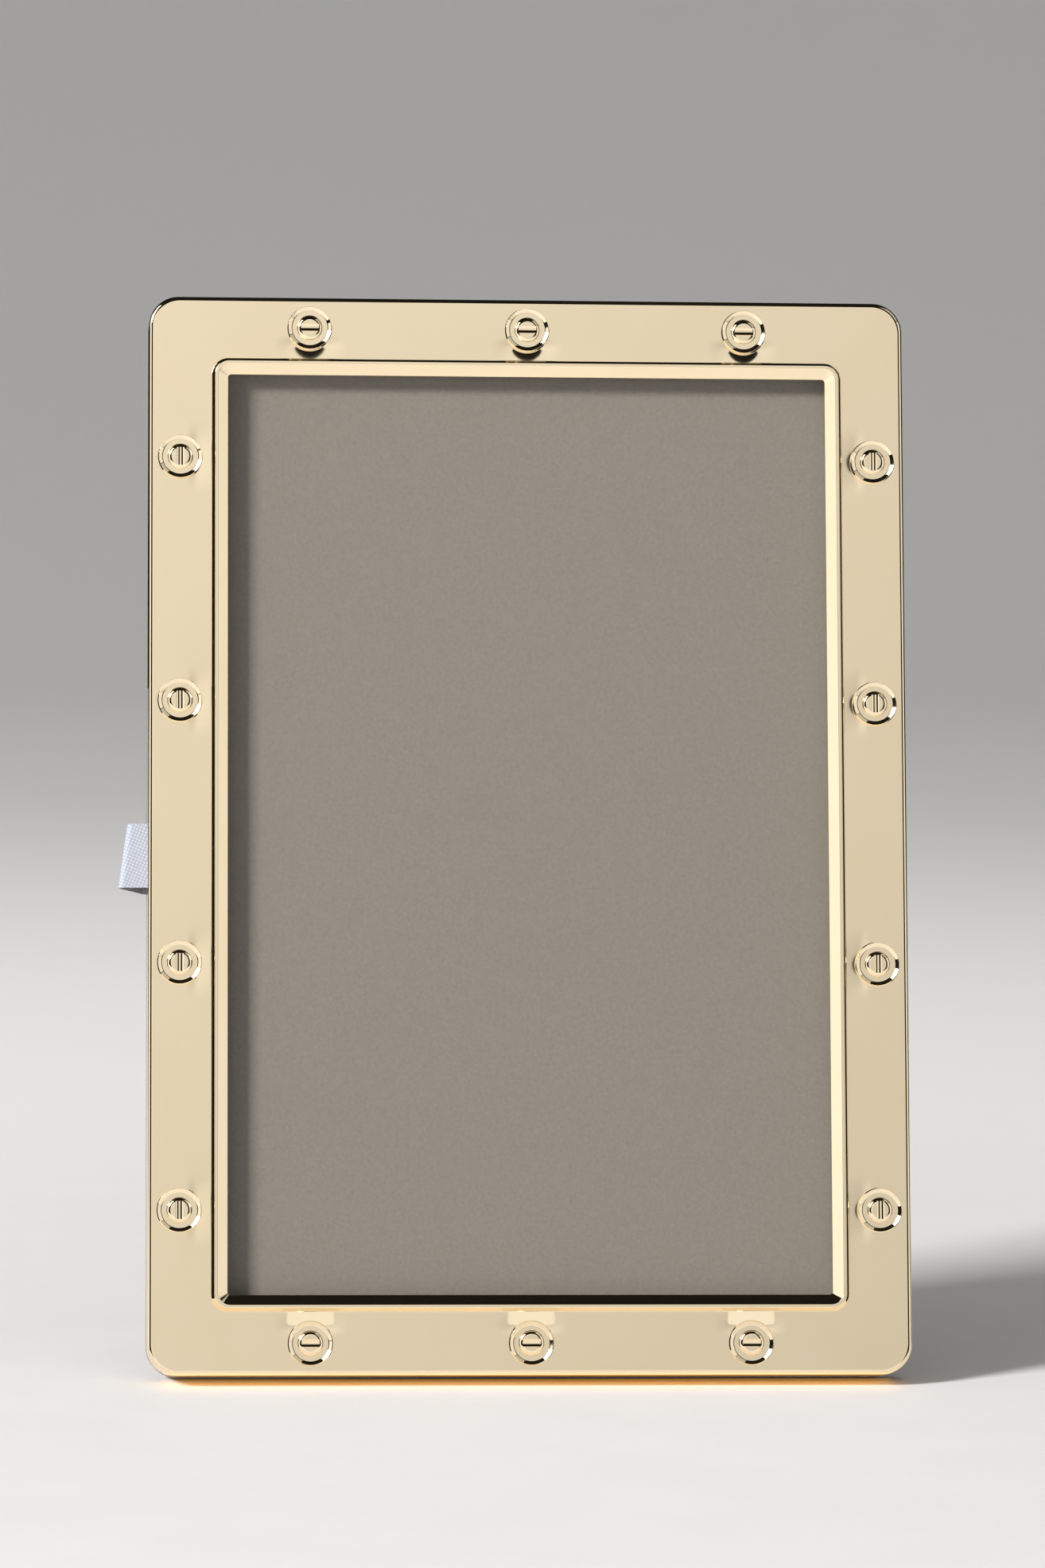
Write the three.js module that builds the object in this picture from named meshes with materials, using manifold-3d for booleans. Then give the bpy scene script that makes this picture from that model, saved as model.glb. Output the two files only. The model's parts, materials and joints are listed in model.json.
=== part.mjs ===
// A free-standing picture frame: a gold-plated cast front with slotted studs, a glass and picture stack,
// and a velvet-wrapped back with a ribbon pull and a folding easel strut.
// Millimetres. The frame leans back, its front faces -Y and +Z is up.
// Inside the leaning group, y runs from the face of the front towards the back and z up along the frame.

import * as THREE from 'three';
import { mergeVertices } from 'three/addons/utils/BufferGeometryUtils.js';
import Module from 'manifold-3d';

// How the frame stands
const LEAN = THREE.MathUtils.degToRad(11);
const STRUT_OPENING = THREE.MathUtils.degToRad(21);

// Picture that the frame holds, and the window in front of it
const PICTURE_WIDTH = 101.6;
const PICTURE_HEIGHT = 152.4;
const LIP_COVER = 3.0;

// Cast front
const FACE_STRIP = 10.0;
const FACE_THICKNESS = 1.8;
const OUTER_CORNER_RADIUS = 4.8;
const OUTER_EDGE_FILLET = 0.7;
const OUTER_WALL = 2.0;
const REBATE_WALL = 1.5;
const REBATE_CORNER_RADIUS = 1.0;
const RIDGE_WIDTH = 2.6;
const RIDGE_HEIGHT = 1.5;
const RIDGE_OUTER_SLOPE = 0.55;
const RIDGE_CREST = 0.5;
const RIDGE_CREST_DROP = 0.2;
const RIDGE_CORNER_RADIUS = 2.7;
const SIGHT_CORNER_RADIUS = 0.5;
const SIGHT_EDGE_DEPTH = 0.1;
const SIGHT_EDGE_LAND = 0.9;

// Studs: dished cups with a button-headed slotted screw in each
const STUD_ROW_SPACING = 34.8;
const STUD_NEAR_HEIGHT = 20.85;
const STUD_FAR_HEIGHT = 59.9;
const CUP_RADIUS = 3.45;
const CUP_HEIGHT = 0.65;
const CUP_WALL_LEAN = 0.1;
const CUP_BASE_EDGE = 0.15;
const CUP_RIM = 0.1;
const CUP_DISH_SLOPE = 0.45;
const CUP_FLOOR = 0.3;
const SCREW_HEAD_RADIUS = 2.05;
const SCREW_HEAD_HEIGHT = 0.5;
const SCREW_HEAD_EDGE = 0.1;
const SCREW_TOP_RADIUS = 1.3;
const SCREW_SHANK_RADIUS = 1.0;
const SCREW_SHANK_REACH = 1.4;
const SLOT_WIDTH = 1.1;
const SLOT_DEPTH = 0.26;

// Stack behind the lip
const GLASS_THICKNESS = 1.6;
const PICTURE_THICKNESS = 0.3;
const BACKING_THICKNESS = 0.8;
const PLUG_THICKNESS = 1.1;

// Velvet-wrapped back
const VELVET = 0.6;
const BOARD_THICKNESS = 2.6;
const BACK_TURN_IN = 12.0;

// Ribbon pull: a loop round the left edge of the back, its fold slanting outwards towards the bottom
const RIBBON_WIDTH = 10.2;
const RIBBON_THICKNESS = 0.4;
const RIBBON_DROP = 3.3;
const RIBBON_TOP_REACH = 3.4;
const RIBBON_BOTTOM_REACH = 5.2;
const RIBBON_TUCK = 5.0;
const RIBBON_TAIL = 7.0;
const RIBBON_FOLD_RADIUS = 0.5;
const RIBBON_FOLD_TURN = THREE.MathUtils.degToRad(135);
const RIBBON_FOLD_STEPS = 4;

// Easel strut and its hinge
const HINGE_HEIGHT = 108.0;
const KNUCKLE_RADIUS = 1.5;
const PIN_RADIUS = 0.75;
const PIN_CLEARANCE = 0.1;
const LEAF_THICKNESS = 0.8;
const LEAF_WIDTH = 28.0;
const FIXED_LEAF_LENGTH = 20.0;
const MOVING_LEAF_LENGTH = 22.0;
const MIDDLE_KNUCKLE_WIDTH = 9.0;
const TONGUE_WIDTH = 7.0;
const TONGUE_LENGTH = 6.0;
const RIVET_EDGE = 5.0;
const RIVET_DISTANCE = 13.0;
const RIVET_HEAD_RADIUS = 2.2;
const RIVET_HEAD_HEIGHT = 0.8;
const RIVET_SHANK_RADIUS = 1.0;
const STRUT_TOP_WIDTH = 32.0;
const STRUT_TAPER = 3.0;
const STRUT_CORNER_RADIUS = 3.0;
const STRUT_TOP_DROP = 1.0;
const STRUT_TURN_IN = 7.0;
const LINING_THICKNESS = 0.4;
const LINING_MARGIN = 3.0;

// Clearances: between pieces that rest on each other, round the stack in the rebate, and round shanks
const SEAT_GAP = 0.3;
const REBATE_CLEARANCE = 0.4;
const HOLE_CLEARANCE = 0.3;
const RIBBON_CLEARANCE = 0.5;

// Facets of the round shapes
const CORNER_STEPS = 5;
const FILLET_STEPS = 3;
const CUP_FACETS = 18;
const SCREW_FACETS = 14;
const PIN_FACETS = 16;

// Outline of the front and the levels of the stack, from front to back
const FRONT_WIDTH = PICTURE_WIDTH + 2 * (FACE_STRIP + RIDGE_WIDTH - LIP_COVER);
const FRONT_HEIGHT = PICTURE_HEIGHT + 2 * (FACE_STRIP + RIDGE_WIDTH - LIP_COVER);
const RIDGE_INSET = FACE_STRIP;
const SIGHT_INSET = FACE_STRIP + RIDGE_WIDTH;
const REBATE_INSET = SIGHT_INSET - LIP_COVER - REBATE_CLEARANCE;
const STUD_INSET = FACE_STRIP / 2;
const SEAT_DEPTH = SIGHT_EDGE_DEPTH + SIGHT_EDGE_LAND;
const GLASS_FRONT = SEAT_DEPTH + SEAT_GAP;
const PICTURE_FRONT = GLASS_FRONT + GLASS_THICKNESS + SEAT_GAP;
const BACKING_FRONT = PICTURE_FRONT + PICTURE_THICKNESS + SEAT_GAP;
const PLUG_FRONT = BACKING_FRONT + BACKING_THICKNESS + SEAT_GAP;
const CASTING_DEPTH = PLUG_FRONT + PLUG_THICKNESS;
const BACK_FRONT = CASTING_DEPTH + SEAT_GAP;
const BOARD_FRONT = BACK_FRONT + VELVET + SEAT_GAP;
const BOARD_REAR = BOARD_FRONT + BOARD_THICKNESS;
const BACK_REAR = BOARD_REAR + SEAT_GAP + VELVET;

// Hinge axis, in the leaning group and above the table that the frame stands on
const HINGE_DEPTH = BACK_REAR + SEAT_GAP + KNUCKLE_RADIUS;
const HINGE_ABOVE_TABLE = HINGE_HEIGHT * Math.cos(LEAN) - (HINGE_DEPTH - BACK_REAR) * Math.sin(LEAN);

// Levels of the strut, measured from the hinge axis towards the back
const LEAF_FRONT = -KNUCKLE_RADIUS;
const LEAF_REAR = LEAF_FRONT + LEAF_THICKNESS;
const LINING_FRONT = LEAF_REAR + SEAT_GAP;
const STRUT_FRONT = LINING_FRONT + LINING_THICKNESS + SEAT_GAP;
const STRUT_BOARD_FRONT = STRUT_FRONT + VELVET + SEAT_GAP;
const STRUT_BOARD_REAR = STRUT_BOARD_FRONT + BOARD_THICKNESS;
const STRUT_REAR = STRUT_BOARD_REAR + SEAT_GAP + VELVET;
const STRUT_TOP = -(KNUCKLE_RADIUS + STRUT_TOP_DROP);

// A cutter reaches this far past what it cuts, and covers more than the whole frame
const CUT_PAST = 1.0;
const CUT_ALL = 2 * (FRONT_WIDTH + FRONT_HEIGHT);

const MATERIALS = {
  gold: { color: 0xe9d3a0, roughness: 0.1, metalness: 1 },
  glass: { color: 0xdfe6e4, roughness: 0.03, metalness: 0, transparent: true, opacity: 0.3 },
  card: { color: 0x958a7f, roughness: 0.7, metalness: 0 },
  packing: { color: 0xb9b2a6, roughness: 0.9, metalness: 0 },
  board: { color: 0x9c7b56, roughness: 0.85, metalness: 0 },
  velvet: { color: 0x86705f, roughness: 1, metalness: 0 },
  lining: { color: 0x6f6259, roughness: 0.9, metalness: 0 },
  ribbon: { color: 0xf0f2f6, roughness: 0.6, metalness: 0 },
  hinge: { color: 0xcdb27a, roughness: 0.35, metalness: 1 },
};

const wasm = await Module();
wasm.setup();

// Closed geometry as a solid: equal points are merged and triangles without area left out.
function toSolid(geometry) {
  const bare = geometry.clone();
  bare.deleteAttribute('normal');
  bare.deleteAttribute('uv');
  const merged = mergeVertices(bare);
  const corners = merged.index.array;
  const triangles = [];
  for (let i = 0; i < corners.length; i += 3) {
    const [a, b, c] = corners.slice(i, i + 3);
    if (a !== b && b !== c && c !== a) {
      triangles.push(a, b, c);
    }
  }
  return new wasm.Manifold(
    new wasm.Mesh({
      numProp: 3,
      vertProperties: new Float32Array(merged.attributes.position.array),
      triVerts: new Uint32Array(triangles),
    }),
  );
}

// Solid back as geometry.
function toGeometry(solid) {
  const mesh = solid.getMesh();
  const geometry = new THREE.BufferGeometry();
  geometry.setAttribute('position', new THREE.BufferAttribute(mesh.vertProperties, mesh.numProp));
  geometry.setIndex(new THREE.BufferAttribute(mesh.triVerts, 1));
  geometry.computeVertexNormals();
  return geometry;
}

// One geometry joined with others and then cut by the rest.
function combine(base, { joined = [], cuts = [] }) {
  let solid = toSolid(base);
  for (const geometry of joined) {
    solid = solid.add(toSolid(geometry));
  }
  for (const geometry of cuts) {
    solid = solid.subtract(toSolid(geometry));
  }
  return toGeometry(solid);
}

// Points of a rounded rectangle about the origin, anticlockwise.
function roundedRectangle(width, height, radius) {
  const points = [];
  const signs = [[1, 1], [-1, 1], [-1, -1], [1, -1]];
  signs.forEach(([signX, signY], quarter) => {
    const centreX = signX * (width / 2 - radius);
    const centreY = signY * (height / 2 - radius);
    for (let step = 0; step <= CORNER_STEPS; step++) {
      const angle = (quarter + step / CORNER_STEPS) * (Math.PI / 2);
      points.push(new THREE.Vector2(centreX + radius * Math.cos(angle), centreY + radius * Math.sin(angle)));
    }
  });
  return points;
}

// Rounded rectangle that lies a given distance inside the outline of the front.
function frontOutline(inset, radius) {
  return roundedRectangle(FRONT_WIDTH - 2 * inset, FRONT_HEIGHT - 2 * inset, radius);
}

// Rounded rectangle the size of the picture, which the glass, cards and plug share.
function pictureOutline() {
  return roundedRectangle(PICTURE_WIDTH, PICTURE_HEIGHT, REBATE_CORNER_RADIUS);
}

// Flat plate of an outline in x and z, from one depth to another.
function plate(points, front, rear) {
  const geometry = new THREE.ExtrudeGeometry(new THREE.Shape(points), { depth: rear - front, bevelEnabled: false });
  return geometry.rotateX(Math.PI / 2).translate(0, rear, 0);
}

// Box between two corners.
function box(low, high) {
  const [x, y, z] = low.map((value, axis) => (value + high[axis]) / 2);
  const [width, depth, height] = low.map((value, axis) => high[axis] - value);
  return new THREE.BoxGeometry(width, depth, height).translate(x, y, z);
}

// Round bar along x.
function barAlongX(radius, left, right) {
  return new THREE.CylinderGeometry(radius, radius, right - left, PIN_FACETS)
    .rotateZ(Math.PI / 2)
    .translate((left + right) / 2, 0, 0);
}

// Round bar along y at a given x and z.
function barAlongY(radius, front, rear, x, z) {
  return new THREE.CylinderGeometry(radius, radius, rear - front, PIN_FACETS)
    .translate(x, (front + rear) / 2, z);
}

// Ring-shaped solid through a closed chain of outlines, each with its own depth.
function ringSolid(sections) {
  const count = sections[0].points.length;
  const positions = sections.flatMap(({ points, depth }) => points.flatMap((point) => [point.x, depth, point.y]));
  const index = [];
  sections.forEach((section, here) => {
    const next = (here + 1) % sections.length;
    for (let i = 0; i < count; i++) {
      const j = (i + 1) % count;
      const a = here * count + i;
      const b = here * count + j;
      const c = next * count + j;
      const d = next * count + i;
      index.push(a, b, c, a, c, d);
    }
  });
  const geometry = new THREE.BufferGeometry();
  geometry.setAttribute('position', new THREE.Float32BufferAttribute(positions, 3));
  geometry.setIndex(index);
  return geometry;
}

// Solid between two outlines with as many points, one at each height.
function loft(lowPoints, lowHeight, highPoints, highHeight) {
  const count = lowPoints.length;
  const positions = [
    ...lowPoints.flatMap((point) => [point.x, point.y, lowHeight]),
    ...highPoints.flatMap((point) => [point.x, point.y, highHeight]),
  ];
  const index = [];
  for (let i = 0; i < count; i++) {
    const j = (i + 1) % count;
    index.push(i, j, count + j, i, count + j, count + i);
  }
  for (const [a, b, c] of THREE.ShapeUtils.triangulateShape(lowPoints, [])) {
    index.push(c, b, a);
  }
  for (const [a, b, c] of THREE.ShapeUtils.triangulateShape(highPoints, [])) {
    index.push(count + a, count + b, count + c);
  }
  const geometry = new THREE.BufferGeometry();
  geometry.setAttribute('position', new THREE.Float32BufferAttribute(positions, 3));
  geometry.setIndex(index);
  return geometry;
}

// Named mesh with a material of its own.
function piece(name, geometry, material) {
  const mesh = new THREE.Mesh(geometry, new THREE.MeshStandardMaterial(MATERIALS[material]));
  mesh.name = name;
  return mesh;
}

// Place and slot direction of every stud, about the middle of the front.
function studPlaces() {
  const sideX = FRONT_WIDTH / 2 - STUD_INSET;
  const rowZ = FRONT_HEIGHT / 2 - STUD_INSET;
  const rowXs = [-STUD_ROW_SPACING, 0, STUD_ROW_SPACING];
  const columnZs = [STUD_FAR_HEIGHT, STUD_NEAR_HEIGHT, -STUD_NEAR_HEIGHT, -STUD_FAR_HEIGHT];
  return [
    ...rowXs.map((x) => ({ x, z: rowZ, upright: false })),
    ...columnZs.map((z) => ({ x: sideX, z, upright: true })),
    ...rowXs.map((x) => ({ x, z: -rowZ, upright: false })),
    ...columnZs.map((z) => ({ x: -sideX, z, upright: true })),
  ];
}

// Cast front: rounded outer edge, flat face, raised ridge, and hollow behind the face.
function frontFrame() {
  const section = (inset, depth, radius) => ({ points: frontOutline(inset, radius), depth });
  const fillet = [];
  for (let step = 0; step <= FILLET_STEPS; step++) {
    const angle = (step / FILLET_STEPS) * (Math.PI / 2);
    const inset = OUTER_EDGE_FILLET * (1 - Math.cos(angle));
    const depth = OUTER_EDGE_FILLET * (1 - Math.sin(angle));
    fillet.push(section(inset, depth, OUTER_CORNER_RADIUS - inset));
  }
  const crestFront = RIDGE_INSET + RIDGE_OUTER_SLOPE;
  const ridge = [
    section(RIDGE_INSET, 0, RIDGE_CORNER_RADIUS),
    section(crestFront, RIDGE_CREST_DROP - RIDGE_HEIGHT, RIDGE_CORNER_RADIUS - RIDGE_OUTER_SLOPE),
    section(crestFront + RIDGE_CREST / 2, -RIDGE_HEIGHT, RIDGE_CORNER_RADIUS - RIDGE_OUTER_SLOPE),
    section(crestFront + RIDGE_CREST, RIDGE_CREST_DROP - RIDGE_HEIGHT, RIDGE_CORNER_RADIUS - RIDGE_OUTER_SLOPE),
    section(SIGHT_INSET, SIGHT_EDGE_DEPTH, SIGHT_CORNER_RADIUS),
    section(SIGHT_INSET, SEAT_DEPTH, SIGHT_CORNER_RADIUS),
  ];
  const channelInset = REBATE_INSET - REBATE_WALL;
  const rear = [
    section(REBATE_INSET, SEAT_DEPTH, REBATE_CORNER_RADIUS),
    section(REBATE_INSET, CASTING_DEPTH, REBATE_CORNER_RADIUS),
    section(channelInset, CASTING_DEPTH, REBATE_CORNER_RADIUS + REBATE_WALL),
    section(channelInset, FACE_THICKNESS, REBATE_CORNER_RADIUS + REBATE_WALL),
    section(OUTER_WALL, FACE_THICKNESS, OUTER_CORNER_RADIUS - OUTER_WALL),
    section(OUTER_WALL, CASTING_DEPTH, OUTER_CORNER_RADIUS - OUTER_WALL),
    section(0, CASTING_DEPTH, OUTER_CORNER_RADIUS),
  ];
  const holeRadius = SCREW_SHANK_RADIUS + HOLE_CLEARANCE;
  const holes = studPlaces().map(({ x, z }) => barAlongY(holeRadius, -CUT_PAST, FACE_THICKNESS + CUT_PAST, x, z));
  const notchHalf = RIBBON_WIDTH / 2 + RIBBON_CLEARANCE;
  const ribbonNotch = box(
    [-FRONT_WIDTH / 2 - CUT_PAST, CASTING_DEPTH - RIBBON_THICKNESS - SEAT_GAP, -RIBBON_DROP - notchHalf],
    [-FRONT_WIDTH / 2 + OUTER_WALL + CUT_PAST, CASTING_DEPTH + CUT_PAST, -RIBBON_DROP + notchHalf],
  );
  return combine(ringSolid([...fillet, ...ridge, ...rear]), { cuts: [...holes, ribbonNotch] });
}

// Dished cup of a stud, with the hole for its screw. Its base lies on y = 0 and it rises towards -y.
function studCup() {
  const holeRadius = SCREW_SHANK_RADIUS + HOLE_CLEARANCE;
  const rimOuter = CUP_RADIUS - CUP_WALL_LEAN;
  const rimInner = rimOuter - CUP_RIM;
  const profile = [
    [holeRadius, 0],
    [CUP_RADIUS, 0],
    [CUP_RADIUS, CUP_BASE_EDGE],
    [rimOuter, CUP_HEIGHT - CUP_RIM / 2],
    [rimOuter - CUP_RIM / 2, CUP_HEIGHT],
    [rimInner, CUP_HEIGHT - CUP_RIM / 2],
    [rimInner - CUP_DISH_SLOPE, CUP_FLOOR],
    [holeRadius, CUP_FLOOR],
    [holeRadius, 0],
  ];
  return new THREE.LatheGeometry(profile.map(([radius, height]) => new THREE.Vector2(radius, height)), CUP_FACETS)
    .rotateX(Math.PI);
}

// Button-headed screw of a stud. Its head seats on y = 0 and rises towards -y, and the slot runs along x.
function slottedScrew() {
  const shankEnd = CUP_FLOOR + 2 * SEAT_GAP + FACE_THICKNESS + SCREW_SHANK_REACH;
  const profile = [
    [0, -shankEnd],
    [SCREW_SHANK_RADIUS, -shankEnd],
    [SCREW_SHANK_RADIUS, 0],
    [SCREW_HEAD_RADIUS, 0],
    [SCREW_HEAD_RADIUS, SCREW_HEAD_EDGE],
    [SCREW_TOP_RADIUS, SCREW_HEAD_HEIGHT],
    [0, SCREW_HEAD_HEIGHT],
  ];
  const body = new THREE.LatheGeometry(
    profile.map(([radius, height]) => new THREE.Vector2(radius, height)),
    SCREW_FACETS,
  ).rotateX(Math.PI);
  const slot = box(
    [-SCREW_TOP_RADIUS, -SCREW_HEAD_HEIGHT - CUT_PAST, -SLOT_WIDTH / 2],
    [SCREW_TOP_RADIUS, SLOT_DEPTH - SCREW_HEAD_HEIGHT, SLOT_WIDTH / 2],
  );
  return combine(body, { cuts: [slot] });
}

// Velvet wrap: a thin skin over the rear and the edges of a board, turned in over its front.
function wrap(outline, front, rear, turnIn) {
  const hollow = plate(outline(VELVET), front + VELVET, rear - VELVET);
  const window = plate(outline(turnIn), front - CUT_PAST, front + VELVET + SEAT_GAP);
  return { skin: plate(outline(0), front, rear), cuts: [hollow, window] };
}

// Rivets of one leaf, as places about the hinge axis; side is 1 above the axis and -1 below it.
function rivetPlaces(side) {
  const spread = LEAF_WIDTH / 2 - RIVET_EDGE;
  return [-spread, spread].map((x) => ({ x, z: side * RIVET_DISTANCE }));
}

// Holes for the rivets of one leaf, through everything between two depths.
function rivetHoles(side, front, rear) {
  const radius = RIVET_SHANK_RADIUS + HOLE_CLEARANCE;
  return rivetPlaces(side).map(({ x, z }) => barAlongY(radius, front - CUT_PAST, rear + CUT_PAST, x, z));
}

// Rivet with its head towards the back, from the end of its shank to the seat of its head.
function rivet(shankEnd, seat) {
  const profile = [
    [0, shankEnd],
    [RIVET_SHANK_RADIUS, shankEnd],
    [RIVET_SHANK_RADIUS, seat],
    [RIVET_HEAD_RADIUS, seat],
    [RIVET_HEAD_RADIUS, seat + RIVET_HEAD_HEIGHT / 2],
    [RIVET_HEAD_RADIUS / 2, seat + RIVET_HEAD_HEIGHT],
    [0, seat + RIVET_HEAD_HEIGHT],
  ];
  return new THREE.LatheGeometry(profile.map(([radius, depth]) => new THREE.Vector2(radius, depth)), PIN_FACETS);
}

// Both rivets of one leaf, about the hinge axis, as named meshes.
function rivets(side, firstNumber, shankEnd, seat) {
  return rivetPlaces(side).map(({ x, z }, i) => {
    const mesh = piece(`hinge_rivet_${firstNumber + i}`, rivet(shankEnd, seat), 'hinge');
    mesh.position.set(x, 0, z);
    return mesh;
  });
}

// Leaf above the hinge axis, riveted to the back, with the two outer knuckles.
function fixedLeaf() {
  const half = LEAF_WIDTH / 2;
  const inner = MIDDLE_KNUCKLE_WIDTH / 2 + SEAT_GAP;
  const clearOfKnuckle = KNUCKLE_RADIUS + SEAT_GAP;
  const sheet = box([-half, LEAF_FRONT, 0], [half, LEAF_REAR, FIXED_LEAF_LENGTH]);
  const knuckles = [barAlongX(KNUCKLE_RADIUS, -half, -inner), barAlongX(KNUCKLE_RADIUS, inner, half)];
  const middle = box([-inner, -CUT_PAST - KNUCKLE_RADIUS, -CUT_PAST], [inner, CUT_PAST, clearOfKnuckle]);
  const bore = barAlongX(PIN_RADIUS + PIN_CLEARANCE, -half - CUT_PAST, half + CUT_PAST);
  const holes = rivetHoles(1, LEAF_FRONT, LEAF_REAR);
  return combine(sheet, { joined: knuckles, cuts: [middle, bore, ...holes] });
}

// Leaf below the hinge axis, riveted to the strut, with the middle knuckle and the tongue that stops
// against the fixed leaf when the strut is open.
function movingLeaf() {
  const half = LEAF_WIDTH / 2;
  const inner = MIDDLE_KNUCKLE_WIDTH / 2;
  const clearOfKnuckle = KNUCKLE_RADIUS + SEAT_GAP;
  const sheet = box([-half, LEAF_FRONT, -MOVING_LEAF_LENGTH], [half, LEAF_REAR, 0]);
  const knuckle = barAlongX(KNUCKLE_RADIUS, -inner, inner);
  const tongueFront = LEAF_REAR + SEAT_GAP;
  const tongue = box(
    [-TONGUE_WIDTH / 2, tongueFront, 0],
    [TONGUE_WIDTH / 2, tongueFront + LEAF_THICKNESS, TONGUE_LENGTH],
  ).rotateX(-STRUT_OPENING);
  const sides = [-1, 1].map((side) => {
    const edges = [side * inner, side * (half + CUT_PAST)].sort((a, b) => a - b);
    return box(
      [edges[0], LEAF_FRONT - CUT_PAST, -clearOfKnuckle],
      [edges[1], LEAF_REAR + CUT_PAST, CUT_PAST],
    );
  });
  const bore = barAlongX(PIN_RADIUS + PIN_CLEARANCE, -half, half);
  const holes = rivetHoles(-1, LEAF_FRONT, LEAF_REAR);
  const cutSheet = combine(sheet, { cuts: sides });
  return combine(cutSheet, { joined: [knuckle, tongue], cuts: [bore, ...holes] });
}

// Outline of the strut, wider towards the foot and long enough to be cut off by the table.
function strutOutline(inset) {
  const top = STRUT_TOP - inset;
  const bottom = -2 * HINGE_HEIGHT;
  const taper = Math.tan(THREE.MathUtils.degToRad(STRUT_TAPER));
  const halfAt = (z) => STRUT_TOP_WIDTH / 2 - inset + (STRUT_TOP - z) * taper;
  const radius = STRUT_CORNER_RADIUS;
  const corner = (side, first) => {
    const centreX = side * (halfAt(top) - radius);
    return Array.from({ length: CORNER_STEPS + 1 }, (unused, step) => {
      const angle = first + (step / CORNER_STEPS) * (Math.PI / 2);
      return new THREE.Vector2(centreX + radius * Math.cos(angle), top - radius + radius * Math.sin(angle));
    });
  };
  return [
    new THREE.Vector2(-halfAt(bottom), bottom),
    new THREE.Vector2(halfAt(bottom), bottom),
    ...corner(1, 0),
    ...corner(-1, Math.PI / 2),
  ];
}

// Everything below the table, raised by a given amount, seen from the open strut.
function belowTable(raised) {
  return new THREE.BoxGeometry(CUT_ALL, CUT_ALL, CUT_ALL)
    .translate(0, 0, raised - HINGE_ABOVE_TABLE - CUT_ALL / 2)
    .rotateX(LEAN - STRUT_OPENING);
}

// Velvet wrap of the strut, cut flat where its foot stands on the table.
function strutVelvet() {
  const { skin, cuts } = wrap(strutOutline, STRUT_FRONT, STRUT_REAR, STRUT_TURN_IN);
  const [hollow, window] = cuts;
  const openHollow = combine(hollow, { cuts: [belowTable(VELVET)] });
  const openWindow = combine(window, { cuts: [belowTable(STRUT_TURN_IN)] });
  const holes = rivetHoles(-1, STRUT_FRONT, STRUT_REAR);
  return combine(skin, { cuts: [belowTable(0), openHollow, openWindow, ...holes] });
}

// Stiff core of the strut.
function strutBoard() {
  const inset = VELVET + SEAT_GAP;
  const holes = rivetHoles(-1, STRUT_BOARD_FRONT, STRUT_BOARD_REAR);
  const blank = plate(strutOutline(inset), STRUT_BOARD_FRONT, STRUT_BOARD_REAR);
  return combine(blank, { cuts: [belowTable(inset), ...holes] });
}

// Lining card on the inner face of the strut, over the turned-in edges of the velvet.
function strutLining() {
  const holes = rivetHoles(-1, LINING_FRONT, STRUT_FRONT);
  const blank = plate(strutOutline(LINING_MARGIN), LINING_FRONT, LINING_FRONT + LINING_THICKNESS);
  return combine(blank, { cuts: [belowTable(LINING_MARGIN), ...holes] });
}

// Closed outline of a strip of a given thickness along a line of points.
function stripOutline(line, thickness) {
  const side = (sign) => line.map((point, i) => {
    const before = line[Math.max(i - 1, 0)];
    const after = line[Math.min(i + 1, line.length - 1)];
    const along = after.clone().sub(before).normalize();
    const across = new THREE.Vector2(-along.y, along.x).multiplyScalar((sign * thickness) / 2);
    return point.clone().add(across);
  });
  return [...side(-1), ...side(1).reverse()];
}

// Line of the ribbon in x and y: out of the seam behind the front, round the fold and back behind the board.
function ribbonLine(reach) {
  const edge = -FRONT_WIDTH / 2;
  const seam = CASTING_DEPTH - RIBBON_THICKNESS / 2;
  const behind = BACK_REAR + SEAT_GAP + RIBBON_THICKNESS / 2;
  const foldX = edge - reach + RIBBON_FOLD_RADIUS;
  const foldY = seam + 2 * RIBBON_FOLD_RADIUS;
  const fold = Array.from({ length: RIBBON_FOLD_STEPS + 1 }, (unused, step) => {
    const angle = -Math.PI / 2 - (step / RIBBON_FOLD_STEPS) * RIBBON_FOLD_TURN;
    return new THREE.Vector2(
      foldX + RIBBON_FOLD_RADIUS * Math.cos(angle),
      foldY + RIBBON_FOLD_RADIUS * Math.sin(angle),
    );
  });
  return [
    new THREE.Vector2(edge + RIBBON_TUCK, seam),
    new THREE.Vector2(edge - RIBBON_CLEARANCE, seam),
    ...fold,
    new THREE.Vector2(edge - RIBBON_CLEARANCE, behind),
    new THREE.Vector2(edge + RIBBON_TAIL, behind),
  ];
}

// Ribbon loop, reaching further out at its lower edge.
function pullRibbon() {
  const low = stripOutline(ribbonLine(RIBBON_BOTTOM_REACH), RIBBON_THICKNESS);
  const high = stripOutline(ribbonLine(RIBBON_TOP_REACH), RIBBON_THICKNESS);
  return loft(low, -RIBBON_DROP - RIBBON_WIDTH / 2, high, -RIBBON_DROP + RIBBON_WIDTH / 2);
}

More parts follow.
